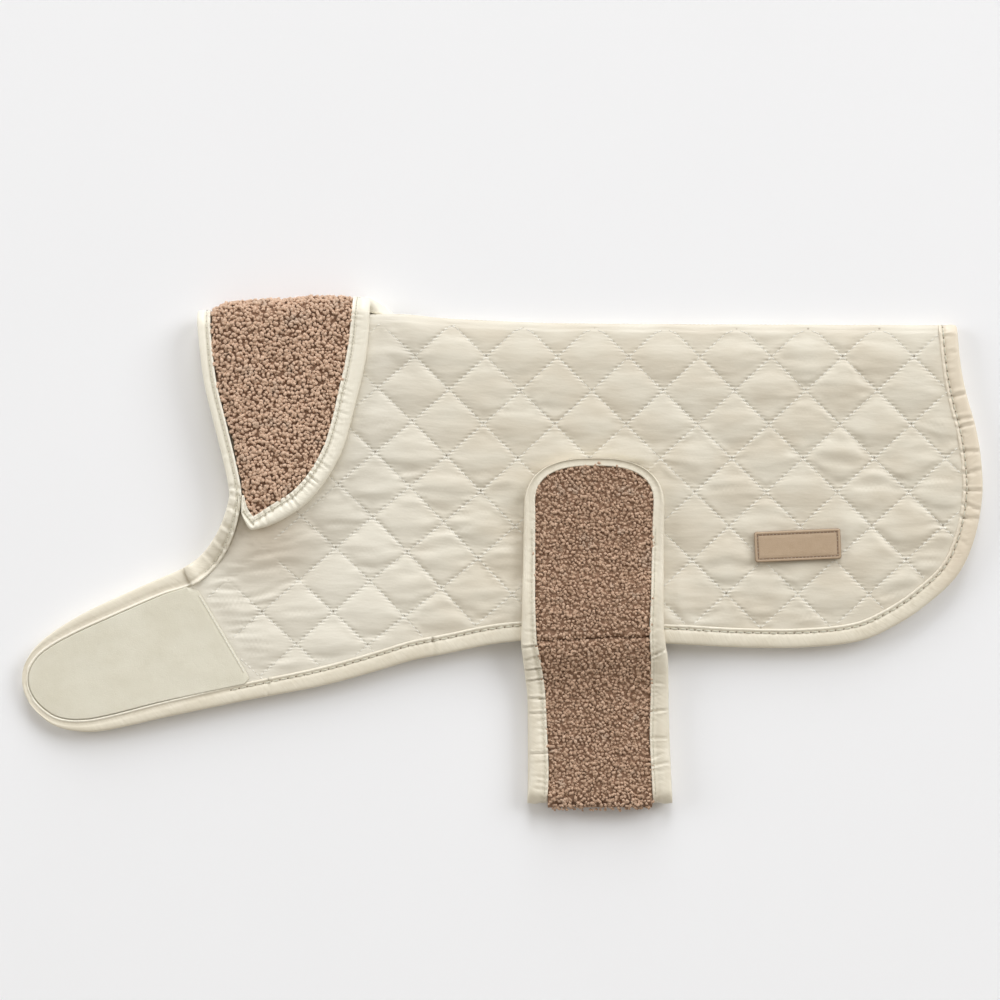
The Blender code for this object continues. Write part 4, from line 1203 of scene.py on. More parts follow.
# Creases on the near half, placed one by one: along, down, length, lean in degrees, half width, depth.
bodyCreases = (
    (14.0, 149.6, 24.0, -8.0, 1.2, 0.55), (16.0, 155.0, 27.0, -3.0, 1.2, 0.75), (17.0, 160.0, 30.0, -2.0, 1.1, 0.70),
    (20.0, 165.0, 32.0, -4.0, 1.2, 0.85), (23.0, 170.4, 32.0, -2.0, 1.2, 0.75), (25.0, 175.6, 30.0, 0.0, 1.1, 0.75),
    (28.0, 181.2, 27.0, -5.0, 1.2, 0.80), (33.0, 187.0, 24.0, 2.0, 1.2, 0.65), (34.0, 192.4, 20.0, -5.0, 1.2, 0.55),
    (37.7, 158.2, 28.0, -8.6, 1.9, 1.50), (31.0, 164.5, 22.0, -6.0, 1.6, 0.60),
    (52.0, 152.0, 30.0, -16.0, 1.8, 0.80), (36.0, 143.0, 32.0, -8.0, 2.0, 0.80),
    (44.0, 134.0, 34.0, -4.0, 1.9, 0.70), (22.0, 140.0, 20.0, -6.0, 1.4, 0.60),
    (56.0, 125.0, 26.0, -12.0, 1.8, 0.60), (60.0, 168.0, 28.0, -7.0, 1.6, 0.70),
    (47.0, 196.0, 26.0, -10.0, 1.5, 0.70), (72.0, 195.0, 24.0, -6.0, 1.5, 0.60),
    (102.0, 183.0, 26.0, -9.0, 1.6, 0.55), (131.0, 181.0, 24.0, -6.0, 1.5, 0.60),
    (170.0, 171.0, 26.0, -4.0, 1.6, 0.60), (300.0, 172.0, 30.0, 2.0, 1.6, 0.55),
    (352.0, 171.0, 26.0, -3.0, 1.5, 0.55), (403.0, 158.0, 24.0, -14.0, 1.6, 0.70),
    (424.0, 139.0, 22.0, -6.0, 1.6, 0.80), (430.0, 118.0, 20.0, -4.0, 1.5, 0.70),
    (428.0, 92.0, 22.0, 4.0, 1.5, 0.70), (424.0, 60.0, 20.0, 8.0, 1.5, 0.60), (108.0, 60.0, 20.0, -4.0, 1.7, 0.60),
    (120.0, 88.0, 24.0, -8.0, 1.6, 0.60), (84.0, 118.0, 24.0, -5.0, 1.6, 0.60), (98.0, 142.0, 28.0, -3.0, 1.7, 0.60),
    (150.0, 120.0, 26.0, -5.0, 1.6, 0.50), (300.0, 96.0, 26.0, 3.0, 1.6, 0.50), (390.0, 96.0, 26.0, 3.0, 1.6, 0.55),
)


def creaseDepth(places):
    total = np.zeros(len(places))
    for along, down, length, lean, width, depth in bodyCreases:
        turn = math.radians(lean)
        offset = places - (along, down)
        lengthwise = offset[:, 0] * math.cos(turn) + offset[:, 1] * math.sin(turn)
        across = offset[:, 1] * math.cos(turn) - offset[:, 0] * math.sin(turn)
        across = across + 0.9 * np.sin(lengthwise / length * 4.0 + along)
        taper = np.clip(1.0 - (2.0 * lengthwise / length) ** 2, 0.0, 1.0)
        total += depth * taper * (0.7 * bell(across - 1.3 * width, width) - bell(across, width))
    return total


def shellOuter(flat):
    first, second = quiltPosition(flat)
    puff = np.ones(len(flat))
    nearest = np.full(len(flat), 1.0)
    for position in (first, second):
        puff *= 1.0 - np.abs(2.0 * (position % 1.0) - 1.0) ** quilting["sharpness"]
        nearest = np.minimum(nearest, 0.5 - np.abs(position % 1.0 - 0.5))
    places = np.column_stack([flat[:, 0], body.unrolled(flat)])
    least, added = quilting["fullness"]
    fullness = least + added * scatter((np.floor(first), np.floor(second)), quilting["fullnessSeed"])
    height = quilting["puff"] * ramp(flat[:, 1], quilting["puffFrom"])
    base = acrossFold(flat[:, 1], body.radius, bodyCut["farFace"], bodyCut["crestFace"], bodyCut["seamFace"])
    seam = nearest * nylonLook["seamSide"]
    shift = wrinkles["driftDown"] * cloud(places, *wrinkles["drift"])
    drift = places + np.column_stack([np.zeros(len(flat)), shift])
    bands, tucks, gathers = (cloud(drift, *wrinkles[name]) for name in ("bands", "tucks", "gathers"))
    loose = 0.4 + 0.6 * ramp(cloud(places, *wrinkles["loose"]), wrinkles["looseFrom"])
    away = smooth(distanceToLine(flat, shellOutline) / wrinkles["edgeReach"])
    gatherAt, gatherReach = wrinkles["gatherPlace"]
    layers = (wrinkles["bandDepth"] * bands * smooth(seam / wrinkles["bandClear"])
              + wrinkles["tuckDepth"] * tucks * smooth(seam / wrinkles["tuckClear"])
              + wrinkles["gatherDepth"] * gathers * bell(seam - gatherAt, gatherReach))
    wrinkle = loose * layers * (0.25 + 0.75 * away)
    shown = ramp(flat[:, 1], wrinkles["backFrom"]) * smooth(distanceOutside(flat, panelEdge) / wrinkles["panelReach"])
    out = base + height * puff * pressedShare(flat) * fullness + shown * (wrinkle + creaseDepth(places) * away)
    return np.maximum(out - crestSink(flat), shellInner(flat) + 0.6)


def crestSink(flat):
    start = bodyCut["crestSinkFrom"]
    fading = bell(np.maximum(flat[:, 1] - start, 0.0), bodyCut["crestSinkReach"])
    return bodyCut["crestSink"] * smooth(flat[:, 1] / start) * fading


def shellInner(flat):
    return bodyCut["liningGap"] + bodyCut["bightGap"] * bell(flat[:, 1], bodyCut["bightReach"])


def edgeLow(flat):
    return shellInner(flat) + bodyCut["liningGap"]


def edgeHigh(flat):
    return acrossFold(flat[:, 1], body.radius, 5.45, 5.6, 4.6) - 0.8 * crestSink(flat)


def neckHigh(flat):
    lift = body.lift(flat[:, 0], body.unrolled(flat))
    return edgeHigh(flat) + 4.6 * lift / bodyCut["collarLift"]


def quiltLattice():  # points along the seams' two directions
    steps = quilting["steps"]
    firstSeam, lastSeam = quilting["seams"]
    number = np.arange((lastSeam - firstSeam) * steps)
    ticks = firstSeam + number / steps
    ticks = ticks - quilting["crowding"] * np.sin(math.tau * ticks) / math.tau
    lattice = quiltPoint(*(side.ravel() for side in np.meshgrid(ticks, ticks, indexing="ij")))
    whole = number % quilting["coveredThinning"] == 0
    sparse = (whole[:, None] & whole).ravel()
    kept = ((lattice > quilting["low"]) & (lattice < quilting["high"])).all(axis=1)
    lattice, sparse = lattice[kept], sparse[kept]
    places = np.column_stack([lattice[:, 0], body.unrolled(lattice)])
    hidden = np.zeros(len(lattice), bool)
    for outline, at in ((collarFootprint, places), (panelEdge, lattice),
                        (strapFootprint(strapCut["pressTop"] + 8.0, 200.0, -4.0), places)):
        hidden |= isInside(at, outline) & (distanceToLine(at, outline) > quilting["coveredMargin"])
    hidden &= lattice[:, 1] > 12.0
    return lattice[~hidden | sparse]


def describeShell(flat, isOuter):
    mirrored = flat[:, 1:] < -10.0                          # the far half mirrors the near one
    seams = np.where(mirrored, np.column_stack(quiltPosition(flat * (1, -1))), np.column_stack(quiltPosition(flat)))
    near = np.where(isOuter & (flat[:, 1] > -10.0) & ~isInside(flat, panelEdge), 1.0, 0.0)
    share = pressedShare(flat) * ramp(np.abs(flat[:, 1]), quilting["drawnInFrom"])
    unrolled = np.column_stack([flat[:, 0], body.unrolled(flat)])
    # painted warm shade on the nylon beside the collar's tip
    bounce = bell(np.linalg.norm(unrolled - quilting["paintedShadeCentre"], axis=1), quilting["paintedShadeReach"])
    return {"quilt": np.column_stack([seams, share]), "pale": 1.0 - ramp(flat[:, 0], quilting["paintedLightTo"]),
            "cloth": np.column_stack([flat, near]), "warmth": np.where(flat[:, 1] > 8.0, bounce, 0.0)}


def makeShell():
    plain = gridPoints((-110.0, 14.0), (460.0, 250.0), 9.0)
    tongue = gridPoints((-104.0, 150.0), (-60.0, 250.0), 4.0)
    outerPoints = np.vstack([wellInside(quiltLattice(), shellOutline, 0.9),
                             wellInside(plain * (1, -1), shellOutline, 5.0), wellInside(tongue, shellOutline, 3.0)])
    innerPoints = np.vstack([plain * (1, -1), plain, gridPoints((-2.0, -10.0), (440.0, 10.0), 10.0)])
    return slabPiece("quiltedShell", finish["nylon"], body, shellOutline, outerPoints,
                     wellInside(innerPoints, shellOutline, 4.0), shellOuter, shellInner, describeShell)


shell = turnOutward(makeShell())
print("shell made:", len(shell.data.polygons), "faces")


# Bindings of the body.

edgeSection = (  # a roll at the outer edge, then the sewn groove and the lip beside the shell
    (0.00, 3.8, 0.50, 0.0), (0.02, 3.8, 0.72, 0.0), (0.08, 3.8, 0.88, 0.0), (0.18, 3.8, 0.97, 0.0),
    (0.36, 3.8, 1.00, 0.12), (0.56, 3.8, 1.00, 0.22), (0.76, 3.8, 1.00, 0.24), (0.91, 3.8, 1.00, 0.16),
    (1.00, 3.7, 1.00, -0.04), (1.00, 3.3, 1.00, -0.24), (1.00, 2.8, 1.00, -0.38), (1.00, 2.2, 1.00, -0.34),
    (1.00, 1.75, 1.00, -0.10), (1.00, 1.35, 1.00, 0.20), (1.00, 0.95, 1.00, 0.34), (1.00, 0.55, 1.00, 0.27),
    (1.00, 0.22, 1.00, 0.02), (1.00, 0.05, 1.00, -0.20), (1.00, 0.35, 1.00, -0.34), (1.00, 1.5, 1.00, -0.42),
    (1.00, 2.7, 0.60, 0.0), (1.00, 3.4, 0.08, 0.0), (0.60, 3.8, 0.00, 0.0), (0.20, 3.8, 0.06, 0.0),
    (0.05, 3.8, 0.22, 0.0),
)
edgeZone = 3.8

edgeBinding = {
    "crimps": crimpMaker(41, (2.2, 4.6), (0.20, 0.55), (0.35, 0.75), (0.55, 0.95),
                         zones=((0.0, 330.0, 0.55, 0.8), (790.0, 1010.0, 1.5, 0.2)),
                         placed=((40.0, 212.9, 1.1, 0.1, 0.8), (136.3, 189.1, 1.1, 0.1, 0.8),
                                 (442.0, 41.8, 1.4, 0.0, 0.8), (444.3, 55.1, 1.2, 0.1, 0.8),
                                 (445.4, 59.7, 1.1, 0.0, 0.7), (447.2, 73.1, 1.4, 0.1, 0.8),
                                 (448.9, 86.4, 1.3, -0.1, 0.8), (449.5, 96.9, 1.2, 0.0, 0.8),
                                 (449.5, 106.1, 1.3, 0.1, 0.7), (448.9, 114.3, 1.2, -0.1, 0.8))),
    "warmFrom": (418.0, 446.0),     # the tail's binding is a warmer cream
    "sewnFrom": 262.0,              # on the tongue the sewing hides under the lip
    "grooveFrom": (225.0, 275.0),
    "stitchBack": 2.5,
    "stitchPitch": 4.8,
    "stitchLength": 3.5,
    "stitchThickness": 0.85,
    "holeSize": 0.9,
    "stitchSunk": -0.40,
}
neckBinding = {
    "crimps": crimpMaker(43, (2.4, 6.0), (0.06, 0.24), (0.2, 0.6), (0.5, 0.9),
                         placed=((16.8, 81.6, 0.5, 0.2, 0.8), (19.7, 100.9, 1.5, 0.2, 0.9),
                                 (18.6, 106.1, 1.4, 0.2, 0.8), (18.0, 112.5, 1.7, 0.2, 0.9),
                                 (13.9, 123.0, 1.8, 0.1, 1.0), (9.9, 130.5, 1.6, 0.1, 0.9),
                                 (3.5, 138.6, 0.9, 0.0, 1.0))),
    "stitchBack": 2.5,
    "stitchPitch": 3.2,
    "stitchLength": 2.3,
    "stitchThickness": 0.6,
    "holeSize": 0.75,
    "stitchSunk": -0.40,
    "sewnFrom": -1.0,
    "lap": 3.2,               # it ends on top of the tongue's binding
    # painted light: the binding is drawn paler along its upper part
    "pale": 1.1,
    "paintedLightTo": (95.0, 145.0),  # the painted light runs out between these
    "endSwell": 1.2,
}


def tailWarmth(path):
    return ramp(path[:, 0], edgeBinding["warmFrom"]) * (path[:, 1] > -12.0)


def makeEdgeBinding():
    chosen = np.arange(nearThroat, farThroat + 1)
    rows = bodyEdge[chosen]
    groove = ramp(lengthAlong(rows[:, :2]), edgeBinding["grooveFrom"])
    return stripPiece("edgeBinding", finish["satin"], body, rows[:, :2], bodyNormals[chosen], rows[:, 2], rows[:, 3],
                      edgeLow, edgeHigh, edgeSection, edgeZone, edgeBinding["crimps"], tailWarmth,
                      0.25 + 0.75 * groove, 2.0 - groove)


def neckRows():
    lapPoints = 3
    return np.arange(farThroat, nearThroat + lapPoints + len(bodyEdge)) % len(bodyEdge)


def makeNeckBinding():
    chosen = neckRows()
    rows = bodyEdge[chosen]
    fromEnd = lengthAlong(rows[:, :2])[-1] - lengthAlong(rows[:, :2])
    over = 1.0 - smooth((fromEnd - neckBinding["lap"]) / 3.0)
    swollen = neckBinding["endSwell"] * bell((fromEnd - 3.5) / 4.0, 1.0)

    def high(flat):
        return neckHigh(flat) + over * 0.9 + swollen

    def low(flat):
        return edgeLow(flat) + over * (edgeHigh(flat) - edgeLow(flat) + 0.35)

    return stripPiece("neckBinding", finish["satin"], body, rows[:, :2], bodyNormals[chosen], rows[:, 2] + 0.3 * over,
                      rows[:, 3], low, high, edgeSection, edgeZone, neckBinding["crimps"],
                      pale=neckBinding["pale"] * (1.0 - ramp(rows[:, 1], neckBinding["paintedLightTo"])))


edgeStrip = turnOutward(makeEdgeBinding())
neckStrip = turnOutward(makeNeckBinding())
print("body bindings made")


# Chest panel and label.

def makePanel():
    inward = rightNormals(panelEdge, closed=True)
    rings = np.vstack([panelEdge + shift * inward for shift in (-1.4, -0.6, 0.6, 1.4)])
    points = np.vstack([wellInside(rings, panelEdge, 0.45),
                        wellInside(gridPoints((-100.0, 150.0), (40.0, 250.0), 2.2), panelEdge, 2.0)])

    def outer(flat):
        fromEnd = distanceToLine(flat, panelAcross, closed=False)
        fromEdge = distanceToLine(flat, panelEdge)
        lumps = 0.10 * cloud(flat, (13.0, 10.0), 31) + 0.06 * cloud(flat, (5.0, 4.0), 33)
        scallop = 0.75 + 0.25 * np.cos(flat[:, 1] / 2.2 * math.pi)
        rim = panelCut["rim"] * bell(fromEnd - 1.4, 0.9) * scallop
        low = panelCut["endDrop"] * (1.0 - smooth(fromEnd / 3.0))
        return panelCut["high"] - low + lumps * smooth(fromEdge / 4.0) + rim

    return slabPiece("chestPanel", finish["panel"], body, panelEdge, points, points[::7], outer,
                     levelAt(panelCut["low"]), lambda flat, isOuter: {})


def makeLabel():
    outline = np.column_stack([labelPlaces[:, 0], body.runAt(labelPlaces[:, 0], labelPlaces[:, 1])])
    inside = []
    for inset in (0.35, 0.8, 1.3, 1.65, 2.0, 2.4, 3.0):
        size = tuple(side - 2 * inset for side in labelCut["size"])
        ring = roundedRectangle(labelCentre, size, labelCut["tilt"], max(labelCut["corner"] - inset, 0.4), 3)
        inside.append(curveThrough(ring, 1.2, closed=True)[0])
    field = gridPoints(np.subtract(labelCentre, (24.0, 9.0)), np.add(labelCentre, (24.0, 9.0)), 1.6)
    inside.append(wellInside(field, labelPlaces, 3.6))
    places = np.vstack(inside)
    points = np.column_stack([places[:, 0], body.runAt(places[:, 0], places[:, 1])])

    def outer(flat):
        inset = distanceToLine(flat, outline)
        rim = 0.25 * bell(inset - 0.9, 0.5) - 0.35 * bell(inset - 1.95, 0.4) - 0.5 * bell(inset, 0.35)
        return labelCut["high"] + rim + 0.05 * cloud(flat, (6.0, 5.0), 51)

    def describe(flat, isOuter):
        return {"inset": np.where(isOuter, distanceToLine(flat, outline), 5.0)}

    return slabPiece("labelPatch", finish["leather"], body, outline, points, points[::9], outer,
                     levelAt(labelCut["low"]), describe)


panel = turnOutward(makePanel())
label = turnOutward(makeLabel())
print("panel and label made")


# Collar.

rollSection = (  # a round roll at the outer side and a flat sewn flange at the inner side
    (0.00, 4.2, 0.50, 0.0), (0.05, 4.2, 0.74, 0.0), (0.16, 4.2, 0.93, 0.0), (0.34, 4.2, 1.00, 0.25),
    (0.52, 4.2, 1.00, 0.40), (0.70, 4.2, 1.00, 0.36), (0.86, 4.2, 1.00, 0.12), (1.00, 4.2, 1.00, -0.28),
    (1.00, 3.7, 1.00, -0.58), (1.00, 3.1, 1.00, -0.62), (1.00, 2.3, 1.00, -0.50), (1.00, 1.4, 1.00, -0.42),
    (1.00, 0.9, 1.00, -0.30), (1.00, 0.45, 1.00, -0.26), (1.00, 0.1, 1.00, -0.50), (1.00, 0.0, 0.75, 0.0),
    (1.00, 0.0, 0.30, 0.0), (1.00, 0.4, 0.05, 0.0), (0.70, 4.2, 0.00, 0.0), (0.25, 4.2, 0.04, 0.0),
    (0.07, 4.2, 0.20, 0.0),
)
rollZone = 4.2

collarBinding = {
    "crimps": crimpMaker(47, (2.2, 5.2), (0.22, 0.62), (-0.15, 0.45), (0.5, 0.9),
                         zones=((0.0, 14.0, 0.6, 1.0), (14.0, 84.0, 2.3, 0.4), (84.0, 200.0, 0.8, 1.0))),
    "stitchBack": 2.5,
    "stitchPitch": 1.95,
    "stitchLength": 1.5,
    "stitchThickness": 0.62,
    "holeSize": 0.75,
    "stitchSunk": -0.42,
    # painted light: the whole collar binding is drawn paler than the other bindings of the same satin
    "pale": 1.0,
}

pile = {
    "depth": 2.3,             # the ground lies this far under the curls' crowns
    "foot": 0.55,             # curls stand this far above the ground
    # painted light and shade: the collar's curls are drawn lighter and the strap's darker, though both are one fleece
    "collar": {"Spacing": 1.36, "Curl radius": 1.02, "Yarn radius": 0.95, "Tip": 1.2, "Dark": 0.68, "Light": 1.10},
    "strap": {"Spacing": 1.28, "Curl radius": 0.96, "Yarn radius": 0.82, "Tip": 1.3, "Dark": -0.12, "Light": 0.66},
    "overlap": {"collar": 0.7, "strap": 1.2},   # curls lean this far over the bindings
    "cornerInset": 2.4,       # and stand back from the corners of the strap's lower fold
}


def collarPattern():
    near = [(along, float(collarFold.runAt(along, down)), width) for along, down, width in collarCut["edge"]]
    near[-1] = (near[-1][0], 0.0, near[-1][2])
    far = [(along, -run, width) for along, run, width in near[-2::-1]]
    points, _ = curveThrough(near + far, collarCut["step"])
    widths = points[:, 2] + collarCut["cornerWidening"] * cornerShare(points[:, 1])
    return points[:, :2], widths, rightNormals(points[:, :2])


collarPath, collarWidths, collarNormals = collarPattern()


def collarOutline():
    free = collarPath + collarNormals * (collarWidths + bodyCut["seamGap"])[:, None]
    near = [(along, float(collarFold.runAt(along, down))) for along, down in collarCut["seam"][1:]]
    near = [(collarCut["seam"][0][0], 0.0)] + near
    far = [(along, -run) for along, run in near[:0:-1]]
    seam, _ = curveThrough(far + near, 2.0)
    return free, seam + (0.4, 0.0)


collarFree, collarSeam = collarOutline()
collarLoop = np.vstack([collarFree, collarSeam])


def collarFace(flat):
    fromSeam = smooth(distanceToLine(flat, collarSeam, closed=False) / collarCut["taper"])
    fromEdge = smooth(distanceToLine(flat, collarFree, closed=False) / collarCut["taper"])
    full = collarCut["outer"] - (collarCut["outer"] - collarCut["seamFace"]) * (1.0 - fromSeam)
    return full - (collarCut["outer"] - collarCut["edgeFace"]) * (1.0 - fromEdge)


def collarGround(flat):
    under = ramp(-flat[:, 1], collarCut["plainFrom"])
    sunk = pile["depth"] * (1.0 - under)
    swell = 0.45 * cloud(flat, (16.0, 13.0), 61) * (1.0 - under)
    return collarFace(flat) - sunk + swell


def makeCollarFleece():
    fine = wellInside(gridPoints((6.0, -18.0), (100.0, 132.0), 2.4), collarLoop, 1.4)
    coarse = wellInside(gridPoints((6.0, -132.0), (100.0, -20.0), 6.0), collarLoop, 3.0)
    inner = wellInside(gridPoints((6.0, -132.0), (100.0, 132.0), 9.0), collarLoop, 3.0)
    return slabPiece("collarFleece", finish["ground"], collarFold, collarLoop, np.vstack([fine, coarse]), inner,
                     collarGround, levelAt(collarCut["inner"]),
                     lambda flat, isOuter: {"bare": ramp(-flat[:, 1], collarCut["plainFrom"])})


def patchCarrier(name, ground, outline, points, out, pileAt):
    flat, faces = facesInside(outline, points)
    placed = ground.place(flat, out(flat))
    return addPiece(name, placed, [tuple(reversed(face)) for face in faces], None, {"pile": pileAt(flat)})


curls = curlTree()
stitches = stitchTree()


def pileSizes(part, seed):
    sizes = {name: value * mm if name in ("Spacing", "Curl radius", "Yarn radius") else value
             for name, value in pile[part].items()}
    return {**sizes, "Seed": seed, "Material": finish["curls"]}


def makeCollarPile():
    free = collarPath + collarNormals * (collarWidths - pile["overlap"]["collar"])[:, None]
    loop = np.vstack([free, collarSeam])
    loop = loop[loop[:, 1] > -15.0]
    points = wellInside(gridPoints((6.0, -14.0), (100.0, 132.0), 2.4), loop, 1.0)

    def pileAt(flat):
        return 0.65 + 0.35 * smooth(distanceToLine(flat, free, closed=False) / 2.2)

    carrier = patchCarrier("collarPile", collarFold, loop, points, lambda flat: collarGround(flat) + pile["foot"],
                           pileAt)
    return grow("collarPile", carrier, curls, pileSizes("collar", 3))


def bindingInner(flat):                                 # the far corner is turned in on itself
    turn = np.clip(-flat[:, 1] / collarFold.radius, 0.0, quarterTurn)
    wall = np.minimum(collarCut["cornerWall"] / np.maximum(np.cos(turn), 0.1), collarCut["inner"])
    return collarCut["inner"] - (collarCut["inner"] - wall) * smooth(2.0 * cornerShare(flat[:, 1]))


def makeCollarBinding():
    turns = np.zeros(len(collarPath))
    return stripPiece("collarBinding", finish["satin"], collarFold, collarPath, collarNormals, collarWidths, turns,
                      bindingInner, levelAt(collarCut["bindingFace"]), rollSection, rollZone,
                      collarBinding["crimps"], pale=collarBinding["pale"])


collar = turnOutward(makeCollarFleece())
collarCurls = makeCollarPile()
collarStrip = turnOutward(makeCollarBinding())
print("collar made:", len(collarCurls.data.polygons), "faces of pile")


# Belly strap.

def frontRun(down):                                     # run of a place on the strap's front
    front = strap.length > strap.foldEnd
    return float(np.interp(-down, -strap.line[front, 0], strap.length[front]))


strapBinding = {
    "crimps": crimpMaker(53, (3.0, 8.0), (0.15, 0.5), (-0.2, 0.3), (0.45, 0.9),
                         zones=((0.0, 190.0, 1.3, 1.0), (230.0, 420.0, 0.6, 1.0), (480.0, 700.0, 1.3, 1.0)),
                         placed=[(along, frontRun(down) - 2.6, depth, lean, 0.6) for along, down, depth, lean in (
                             (190.0, 187.4, 1.6, 0.0), (190.0, 193.0, 1.0, 0.1), (190.0, 200.1, 1.5, 0.0),
                             (190.0, 207.6, 1.8, 0.0), (190.0, 218.7, 1.9, -0.1), (190.0, 227.4, 1.2, 0.0),
                             (190.0, 250.6, 1.4, 0.0), (272.0, 190.5, 1.3, 0.3), (272.0, 225.6, 1.5, 0.1),
                             (272.0, 241.0, 0.9, 0.0), (272.0, 256.4, 1.2, 0.1))]),
    "stitchBack": 1.9,
    "stitchPitch": 3.1,
    "stitchLength": 2.2,
    "stitchThickness": 0.5,
    "holeSize": 0.45,
    "stitchSunk": -0.4,
    "sewnTo": 120.0,          # its sewing shows from the lower fold up to here, measured down
}


def strapPattern():
    straightEnd = strap.length[-1] - strapCut["tipLength"]
    sides = list(np.arange(0.0, strap.foldStart, 2.0)) + list(np.linspace(strap.foldStart, strap.foldEnd, 13))
    sides += list(np.arange(strap.foldEnd + 0.9, straightEnd, 0.9)) + [straightEnd]
    sides = np.array(sides)
    left = np.column_stack([strap.size(sides, 0) - strap.halfWidth(sides), sides])
    right = np.column_stack([strap.size(sides, 0) + strap.halfWidth(sides), sides])[::-1]
    angles = np.pi * np.arange(1, 72) / 72
    power = 2.0 / strapCut["tipPower"]
    lean = np.cos(angles)
    run = straightEnd + strapCut["tipLength"] * np.sin(angles) ** power
    tip = np.column_stack([strap.size(run, 0) - strap.size(run, 1) * np.sign(lean) * np.abs(lean) ** power, run])
    path = np.vstack([left, tip, right])
    return path, rightNormals(path), strap.size(path[:, 1], 2)


strapPath, strapNormals, strapWidths = strapPattern()
strapMiddle = strapPath[:, 0].mean()
strapOutline = strapPath + strapNormals * (strapWidths + bodyCut["seamGap"])[:, None]


def strapGround(flat):
    run = flat[:, 1]
    front = smooth((run - strap.foldStart + 6.0) / 6.0)
    down = strap.downAt(run)
    crease = 0.0
    for at, depth, width in strapCut["creases"]:
        crease = crease + depth * bell(down - at - creaseWander(flat), width)
    swell = 0.35 * cloud(flat, (15.0, 12.0), 73)
    return strap.size(run, 3) - front * (pile["depth"] - swell + crease)


def creaseWander(flat):
    leaning = strapCut["creaseLean"] * (flat[:, 0] - strapMiddle)
    return leaning + 0.6 * cloud(np.column_stack([flat[:, 0], flat[:, 0]]), (14.0, 14.0), 71)


def strapCrease(flat):
    return strap.downAt(flat[:, 1]) - strapCut["creases"][0][0] - creaseWander(flat)


def creaseRows():                                       # points close enough together for the upper crease
    down = strapCut["creases"][0][0]
    return gridPoints((182.0, frontRun(down + 3.4)), (282.0, frontRun(down - 3.4)), (2.4, 0.4))


def makeStrap():
    fine = wellInside(gridPoints((180.0, strap.foldStart - 4.0), (280.0, strap.length[-1]), 2.6), strapOutline, 1.4)
    coarse = wellInside(gridPoints((180.0, 0.0), (280.0, strap.foldStart - 8.0), 8.0), strapOutline, 3.0)
    both = np.vstack([fine, coarse, wellInside(np.vstack([foldRows(0.4), creaseRows()]), strapOutline, 1.4)])
    return slabPiece("bellyStrap", finish["ground"], strap, strapOutline, both, both[::3], strapGround,
                     levelAt(0.0), lambda flat, isOuter: {})


def strapFoot(flat):                                    # how high the curls stand above the ground
    return pile["foot"] + strapCut["foldPuff"] * bell(flat[:, 1] - (strap.foldStart + strap.foldEnd) / 2, 3.0)


def foldRows(step):                                     # points close enough together to turn round the fold
    return gridPoints((182.0, strap.foldStart - 1.0), (282.0, strap.foldEnd + 1.0), (3.0, step))


def makeStrapPile(name, start, end, seed):
    corner = bell(strapPath[:, 1] - (strap.foldStart + strap.foldEnd) / 2, 5.0)
    inset = strapWidths - pile["overlap"]["strap"] + pile["cornerInset"] * corner
    edge = strapPath + strapNormals * inset[:, None]
    loop = edge[(edge[:, 1] > start) & (edge[:, 1] < end)]
    points = np.vstack([gridPoints((180.0, start), (280.0, end), 2.4), foldRows(0.4), creaseRows()])

    def pileAt(flat):
        creased = bell(strapCrease(flat), 0.6)
        return (0.65 + 0.35 * smooth(distanceToLine(flat, edge) / 2.2)) * (1.0 - 0.95 * creased)

    carrier = patchCarrier(name, strap, loop, wellInside(points, loop, 0.5),
                           lambda flat: strapGround(flat) + strapFoot(flat), pileAt)
    return grow(name, carrier, curls, pileSizes("strap", seed))


def strapHigh(flat):
    run = flat[:, 1]
    pinched = strapCut["pinch"] * bell(run - (strap.foldStart + strap.foldEnd) / 2, 4.0)
    return strap.size(run, 3) - strapCut["bindingDrop"] + 0.2 - pinched


def makeStrapBinding():
    turns = np.zeros(len(strapPath))
    return stripPiece("strapBinding", finish["satin"], strap, strapPath, strapNormals, strapWidths, turns,
                      levelAt(strapCut["bindingFloor"]), strapHigh, rollSection, rollZone, strapBinding["crimps"])


strapPiece = turnOutward(makeStrap())
pileStart = strap.foldStart + 1.8                       # no curl reaches below the surface it lies on
pileMiddle = (pileStart + strap.length[-1]) / 2
lowerCurls = makeStrapPile("lowerStrapPile", pileStart, pileMiddle, 5)
upperCurls = makeStrapPile("upperStrapPile", pileMiddle, strap.length[-1] + 1.0, 6)
strapStrip = turnOutward(makeStrapBinding())
print("strap made:", len(lowerCurls.data.polygons) + len(upperCurls.data.polygons), "faces of pile")


# Sewing.

